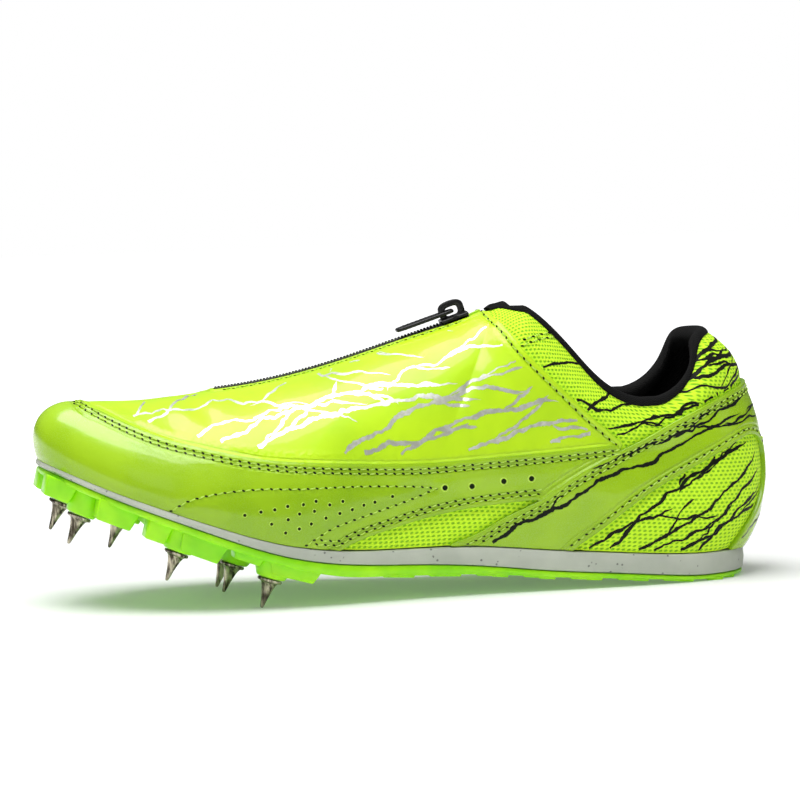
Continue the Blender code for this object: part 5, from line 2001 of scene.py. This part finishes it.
class Zip:
    """The tape, the coil, the slider and its pull."""

    under: float = -0.0011
    coil: float = 0.0016
    tape_half: float = 0.0075
    pitch: float = 0.00125
    fit: float = 0.0003
    slider_long: float = 0.0105
    slider_wide: float = 0.0082
    slider_thick: float = 0.0016
    bar: float = 0.0013
    bridge_wide: float = 0.0022
    bridge_room: float = 0.0012
    pull_long: float = 0.0225
    pull_wide: float = 0.0064
    pull_thick: float = 0.0013

    def __init__(self, finishes: dict[str, bpy.types.Material]) -> None:
        """Keep the finishes."""
        self.finishes = finishes

    def field(self, points: Array) -> Array:
        """Distance inside the tape's outline."""
        return -SHAPES.box(points, ZIP_FRONT, ZIP_BACK, self.tape_half)

    def tape(self) -> bpy.types.Object:
        """The woven tape in the throat."""
        sheet = Sheet(
            "woven_tape", self.field, flat_depth(self.under), flat_depth(-0.0003), edge=0.0002,
            rings=1,
        )
        net, values, _, _ = sheet.net()
        piece = net.build("woven_tape", self.finishes["tape"], values=values)
        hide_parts("zip_tape")
        return piece

    def crest(self, along: Array) -> tuple[Array, Array, Array]:
        """Places on the crest, directions towards the heel, and off the crest."""
        row = LAST.crest_row(along)
        place = LAST.ridge(row)
        back = -LAST.crest_forward(row)
        return place, back, np.cross(back, np.array([0.0, 1.0, 0.0]))

    def teeth(self) -> bpy.types.Object:
        """The coil: bent loops from either side, in turn, over a low core."""
        count = int((ZIP_FRONT - ZIP_BACK) * LAST.length / self.pitch)
        along = ZIP_FRONT - 0.003 - np.arange(count) * (ZIP_FRONT - ZIP_BACK - 0.006) / count
        place, back, up = self.crest(along)
        side = np.where(np.arange(count) % 2, 1.0, -1.0)[:, None] * np.array([[0.0, 1.0, 0.0]])
        t = np.linspace(-1, 1, 7)[:, None]
        turn = np.linspace(0, 2 * math.pi, 7, endpoint=False)[None, :]
        thick = 0.00046 * np.sqrt(1 - 0.45 * t**2)
        form = stack(
            thick * np.cos(turn) + 0 * t, (0.00195 * t + 0.0001) + 0 * turn,
            0.00215 - 0.0012 * t**4 + thick * np.sin(turn),
        ).reshape(-1, 3)
        right = np.where(np.sum(np.cross(back, side) * up, 1) > 0, 1.0, -1.0)
        nets = []
        for sign in (1.0, -1.0):
            pick = right == sign
            faces = tube_faces(7, 7) if sign > 0 else tube_faces(7, 7)[:, ::-1]
            nets.append(bodies_of(form, faces, place[pick], (back[pick], side[pick], up[pick])))
        fine = np.linspace(ZIP_FRONT - 0.001, ZIP_BACK + 0.001, 120)
        place, back, up = self.crest(fine)
        section = np.array([
            (-2.3, -0.75), (2.3, -0.75), (2.4, 1.15), (2.1, 1.65), (1.2, 1.85), (0.0, 1.75),
            (-1.2, 1.85), (-2.1, 1.65), (-2.4, 1.15),
        ]) * MM
        across = np.array([0.0, 1.0, 0.0])
        points = (
            place[:, None] + section[None, :, :1] * across + section[None, :, 1:] * up[:, None]
        )
        nets.append(Net.from_quads(points.reshape(-1, 3), tube_faces(120, 9)[:, ::-1]))
        piece = Net.joined(nets).build("zip_coil", self.finishes["nylon"])
        return piece

    def frame(self) -> Matrix:
        """The slider's frame: on the crest, X along the zip to the heel, Z off it."""
        share = LAST.column("top_x")
        row = LAST.throat_row + (SLIDER_AT - share[8]) / (share[9] - share[8])
        back, front = LAST.ridge(row - 0.25), LAST.ridge(row + 0.25)
        run = back - front
        turn = Matrix.Rotation(-math.atan2(run[2], run[0]), 4, "Y")
        return Matrix.Translation(Vector((back + front) / 2)) @ turn

    def room(self) -> tuple[float, float]:
        """Half the length and the height of the hole in the slider's bridge."""
        room = self.pull_thick / 2 + self.bridge_room
        return 1.35 * room, 1.8 * room

    def slider(self) -> bpy.types.Object:
        """The slider: a waisted body over the coil, and a rounded bridge."""
        low = self.coil + self.fit
        top = low + self.slider_thick
        matrix = self.frame()
        bm = bmesh.new()
        bmesh.ops.create_cube(bm, size=1.0)
        bmesh.ops.subdivide_edges(bm, edges=bm.edges[:], cuts=5, use_grid_fill=True)
        for vert in bm.verts:
            waist = 1.0 - 0.16 * math.cos(vert.co.x * math.pi) ** 2
            vert.co = Vector((
                vert.co.x * self.slider_long, vert.co.y * self.slider_wide * waist,
                low + (vert.co.z + 0.5) * self.slider_thick
                - 0.0004 * (2 * vert.co.y) ** 2 * (vert.co.z > 0),
            ))
        edges = [e for e in bm.edges if e.calc_face_angle(0) > math.radians(50)]
        bmesh.ops.bevel(bm, geom=edges, offset=0.00035, segments=2, profile=0.6, affect="EDGES")
        half, tall = self.room()
        middle = top + tall / 2
        x, z = rounded(half + self.bar, tall / 2 + self.bar, 0.55, 40)
        crown = 0.0010 * np.maximum(0.0, 1 - (x / 0.0045) ** 2)
        z = z + middle
        outer = x * 1.30, z + crown * (z > middle)
        x, z = rounded(half, tall / 2, 0.55, 40)
        inner = x, z + middle
        wide = self.bridge_wide / 2
        rings = []
        for (x, z), shrink, y in (
            (outer, 0.0, -0.6 * wide), (outer, 0.0003, -wide), (inner, -0.0003, -wide),
            (inner, 0.0, -0.6 * wide), (inner, 0.0, 0.6 * wide), (inner, -0.0003, wide),
            (outer, 0.0003, wide), (outer, 0.0, 0.6 * wide),
        ):
            z = middle + (z - middle) * (1 - 2 * shrink / tall)
            rings.append(stack(x * (1 - shrink / half), y, z))
        add_tube(bm, np.array(rings))
        bmesh.ops.recalc_face_normals(bm, faces=bm.faces[:])
        bmesh.ops.transform(bm, matrix=matrix, verts=bm.verts[:])
        piece = self._from_bmesh(bm, "slider_body", "shoe")
        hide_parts("zip_slider")
        return piece

    def _from_bmesh(self, bm: bmesh.types.BMesh, name: str, body: str) -> bpy.types.Object:
        """An object in nylon from a finished bmesh."""
        piece = Net.from_bmesh(bm).build(name, self.finishes["nylon"], body=body, sharp=55.0)
        return piece

    def pull(self) -> bpy.types.Object:
        """The pull: a long rounded plate with an eye, a chamfered edge and grip ribs.

        The plate is a grid between a rounded outline and the eye's outline. Each face has
        seven ribs.
        """
        half_room, tall = self.room()
        start = self.pull_thick / 2
        reach = start + max(half_room + self.bar, tall / 2 + self.bar) + self.bridge_room
        wide = self.bridge_wide / 2 + self.fit
        long = self.pull_long + start
        ox, oy = rounded(long / 2, self.pull_wide / 2, 0.42, 72)
        cx = (start - self.pull_long) / 2
        ox = ox + cx
        ix, iy = rounded((reach - start) / 2, wide, 0.35, 72)
        ix = ix - (reach + start) / 2
        t = self.pull_thick / 2
        rings = []
        for share, inset, height in (
            (0.0, 0.00030, t), (0.0, 0.0, t - 0.0003), (0.0, 0.0, 0.0003 - t),
            (0.0, 0.0003, -t), (1.0, 0.0, -t), (1.0, 0.0, t),
        ):
            x = ox * (1 - share) + ix * share
            y = oy * (1 - share) + iy * share
            if share == 0.0:
                x = cx + (x - cx) * (1 - 2 * inset / long)
                y = y * (1 - 2 * inset / self.pull_wide)
            rings.append(stack(x, y, height))
        bm = bmesh.new()
        add_tube(bm, np.array(rings))
        bmesh.ops.recalc_face_normals(bm, faces=bm.faces[:])
        for number in range(7):
            x = -reach - 0.0026 - number * 0.0018
            for top in (1.0, -1.0):
                rib = bmesh.ops.create_cube(bm, size=1.0)["verts"]
                for vert in rib:
                    vert.co = Vector((
                        x + vert.co.x * 0.0008, vert.co.y * self.pull_wide * 0.66,
                        top * (t - 0.0002) + vert.co.z * 0.0007,
                    ))
        matrix = self.frame() @ Matrix.Translation((0, 0, self.axis_height()))
        bmesh.ops.transform(bm, matrix=matrix, verts=bm.verts[:])
        piece = self._from_bmesh(bm, "ribbed_pull", "pull")
        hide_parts("pull_tab")
        return piece

    def axis_height(self) -> float:
        """Height of the pull's axis over the crest."""
        return self.coil + self.fit + self.slider_thick + self.room()[1] / 2


@dataclass(frozen=True)
class Studio:
    """The floor, the lights and the camera of the photograph."""

    azimuth: float = -12.0
    elevation: float = 5.9
    distance: float = 1.4
    roll: float = 1.5326
    lens: float = 167.0
    shift: tuple[float, float] = (-0.0121, 0.0866)

    def floor(self) -> None:
        """A plain pale floor under the shoe, with a painted glow that grows away from the shoe."""
        mesh = bpy.data.meshes.new("floor")
        mesh.from_pydata([(-3, -3, 0), (3, -3, 0), (3, 3, 0), (-3, 3, 0)], [], [(0, 1, 2, 3)])
        p = Paint("pale_floor")
        # Painted light: the floor glows, 0.12 near the shoe rising to 0.85 from 0.2 m to 0.7 m out,
        # so it reads white.
        away = p.tone("ShaderNodeVectorMath", "Value", {"operation": "LENGTH"}, {0: p.place()})
        glow = p.mix(away.between(0.20, 0.70), (0.12, 0.12, 0.12), (0.85, 0.85, 0.85))
        mesh.materials.append(p.done(
            Base_Color=(0.78, 0.78, 0.78), Roughness=0.6, Emission_Color=glow,
            Emission_Strength=1.0, Specular_IOR_Level=0.2,
        ))
        floor = bpy.data.objects.new("floor", mesh)
        bpy.context.scene.collection.objects.link(floor)

    def light(
        self, name: str, place: Vector, aim: Vector, size: tuple[float, float], power: float
    ) -> None:
        """A rectangular softbox at place, turned to aim."""
        data = bpy.data.lights.new(name, "AREA")
        data.shape = "RECTANGLE"
        data.size, data.size_y = size
        data.energy = power
        obj = bpy.data.objects.new(name, data)
        obj.location = place
        obj.rotation_euler = (aim - place).to_track_quat("-Z", "Y").to_euler()
        bpy.context.scene.collection.objects.link(obj)

    def lights(self) -> None:
        """A large softbox overhead, a strip from the front and a soft world."""
        aim = Vector((0.0, 0.0, 0.05))
        self.light("overhead", Vector((-0.20, -0.12, 1.08)), aim, (1.1, 0.7), 17.5)
        self.light("front", Vector((-0.75, -1.15, 0.65)), aim, (0.6, 0.6), 0.9)
        self.light("side", Vector((1.10, -0.60, 0.55)), aim, (0.5, 0.8), 0.8)
        world = bpy.data.worlds.new("studio")
        n = Nodes(world)
        place = n.tone("ShaderNodeTexCoord", "Generated", {}, {})
        upward = n.tone("ShaderNodeSeparateXYZ", 2, {}, {0: place})
        glow = n.tone(
            "ShaderNodeMapRange", 0, {"interpolation_type": "SMOOTHSTEP"},
            {"Value": upward, "From Min": -0.1, "From Max": 0.75, "To Min": 0.05, "To Max": 0.36},
        )
        lit = n.tone("ShaderNodeBackground", 0, {}, {0: (0.95, 0.97, 1.0, 1.0), 1: glow})
        seen = n.tone("ShaderNodeBackground", 0, {}, {0: (1.0, 1.0, 1.0, 1.0)})
        ray = n.tone("ShaderNodeLightPath", "Is Camera Ray", {}, {})
        mixed = n.tone("ShaderNodeMixShader", 0, {}, {0: ray, 1: lit, 2: seen})
        n.node("ShaderNodeOutputWorld", sockets={0: mixed})
        bpy.context.scene.world = world
        bpy.context.scene.view_settings.view_transform = "Standard"

    def camera(self) -> None:
        """The camera at the photograph's angle, rolled and shifted as it was."""
        a, e, r = (math.radians(v) for v in (self.azimuth, self.elevation, self.roll))
        back = Vector((math.sin(a) * math.cos(e), -math.cos(a) * math.cos(e), math.sin(e)))
        right = (-back).cross(Vector((0, 0, 1))).normalized()
        up = right.cross(-back)
        x = right * math.cos(r) - up * math.sin(r)
        y = up * math.cos(r) + right * math.sin(r)
        target = Vector((LAST.shift_x, LAST.shift_y, 0.045))
        data = bpy.data.cameras.new("camera")
        data.lens, data.sensor_width = self.lens, 36.0
        data.shift_x, data.shift_y = self.shift
        data.clip_start, data.clip_end = 0.05, 20.0
        camera = bpy.data.objects.new("camera", data)
        turn = Matrix((x, y, back)).transposed().to_4x4()
        camera.matrix_world = Matrix.Translation(target + self.distance * back) @ turn
        bpy.context.scene.collection.objects.link(camera)
        bpy.context.scene.camera = camera


def finishes() -> dict[str, bpy.types.Material]:
    """Every finish of the shoe, by what it is used on."""
    made = {
        # The patents' and the knit's second colours are darker copies: random cloud, and painted
        # shade in the edges, the lens and the knit's open cells.
        "patent": Patent("patent_green", (0.34, 0.57, 0.010), (0.21, 0.40, 0.004)),
        "cover": Patent(
            "cover_lime", (0.50, 0.78, 0.008), (0.30, 0.57, 0.003), 0.34, 0.30, 0.00003,
            (2.4,),
        ),
        "knit": Knit("knit_green", (0.64, 1.0, 0.022), (0.20, 0.56, 0.003)),
        "binding": Cloth("binding_black", (0.004, 0.004, 0.004), (0.014, 0.014, 0.013), 1.1),
        "lining": Cloth("lining_black", (0.004, 0.004, 0.004), (0.026, 0.024, 0.023), 1.4),
        "liner": Cloth("liner_black", (0.010, 0.010, 0.010), (0.03, 0.03, 0.03), 1.0),
        "tape": Cloth("tape_black", (0.004, 0.004, 0.004), (0.012, 0.012, 0.012), 0.7),
        "nylon": Moulded("nylon_black", (0.006, 0.006, 0.006), (0.010, 0.010, 0.010),
                         roughness=0.32),
        "foam": Moulded("foam_white", (0.50, 0.53, 0.45), (0.42, 0.45, 0.38), (0.14, 0.14, 0.13),
                        0.9, 0.62, 0.00008),
        "rubber": Moulded("rubber_green", (0.40, 0.90, 0.006), (0.24, 0.74, 0.003),
                          roughness=0.34, grain=0.00002, glow=0.12, coat=0.15),
        # Painted reflection: the steel's light and dark streaks stand in part for reflections along
        # the spikes.
        "steel": Metal("spike_steel", (0.56, 0.51, 0.38), (0.06, 0.05, 0.035), 0.16),
        "foil": Metal("silver_foil", (0.84, 0.86, 0.78), (0.62, 0.64, 0.54), 0.30, 0.8,
                      (500.0, 500.0, 500.0)),
        "ink": Ink("print_black", (0.004, 0.005, 0.003), (0.010, 0.012, 0.007), 0.45),
        "thread": Ink("thread_lime", (0.40, 0.62, 0.05), (0.56, 0.78, 0.16), 0.55),
        "rim": Ink("rim_lime", (0.42, 0.66, 0.05), (0.52, 0.74, 0.12), 0.3),
        # Painted shade: the dark colour of the needle holes and of the perforations' dishes.
        "hole": Ink("painted_hole_shade", (0.004, 0.010, 0.002), (0.008, 0.016, 0.003), 0.8),
    }
    return {key: finish.make() for key, finish in made.items()}


def main() -> None:
    """Build the shoe and its studio."""
    logging.basicConfig(level=logging.INFO, format="%(message)s")
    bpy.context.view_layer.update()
    studio = Studio()
    studio.floor()
    studio.lights()
    studio.camera()
    made = finishes()
    upper = Upper(made)
    upper.skin()
    upper.lining()
    upper.binding()
    panels = Panels(made)
    panels.mudguard()
    panels.saddle()
    panels.cover()
    panels.stitches()
    panels.perforations()
    Crackle(made).print_all()
    sole = Sole(made)
    sole.midsole()
    sole.insole()
    sole.outsole()
    sole.spikes()
    zipper = Zip(made)
    zipper.tape()
    zipper.teeth()
    zipper.slider()
    zipper.pull()
    bpy.context.view_layer.update()


if __name__ == "__main__":
    main()
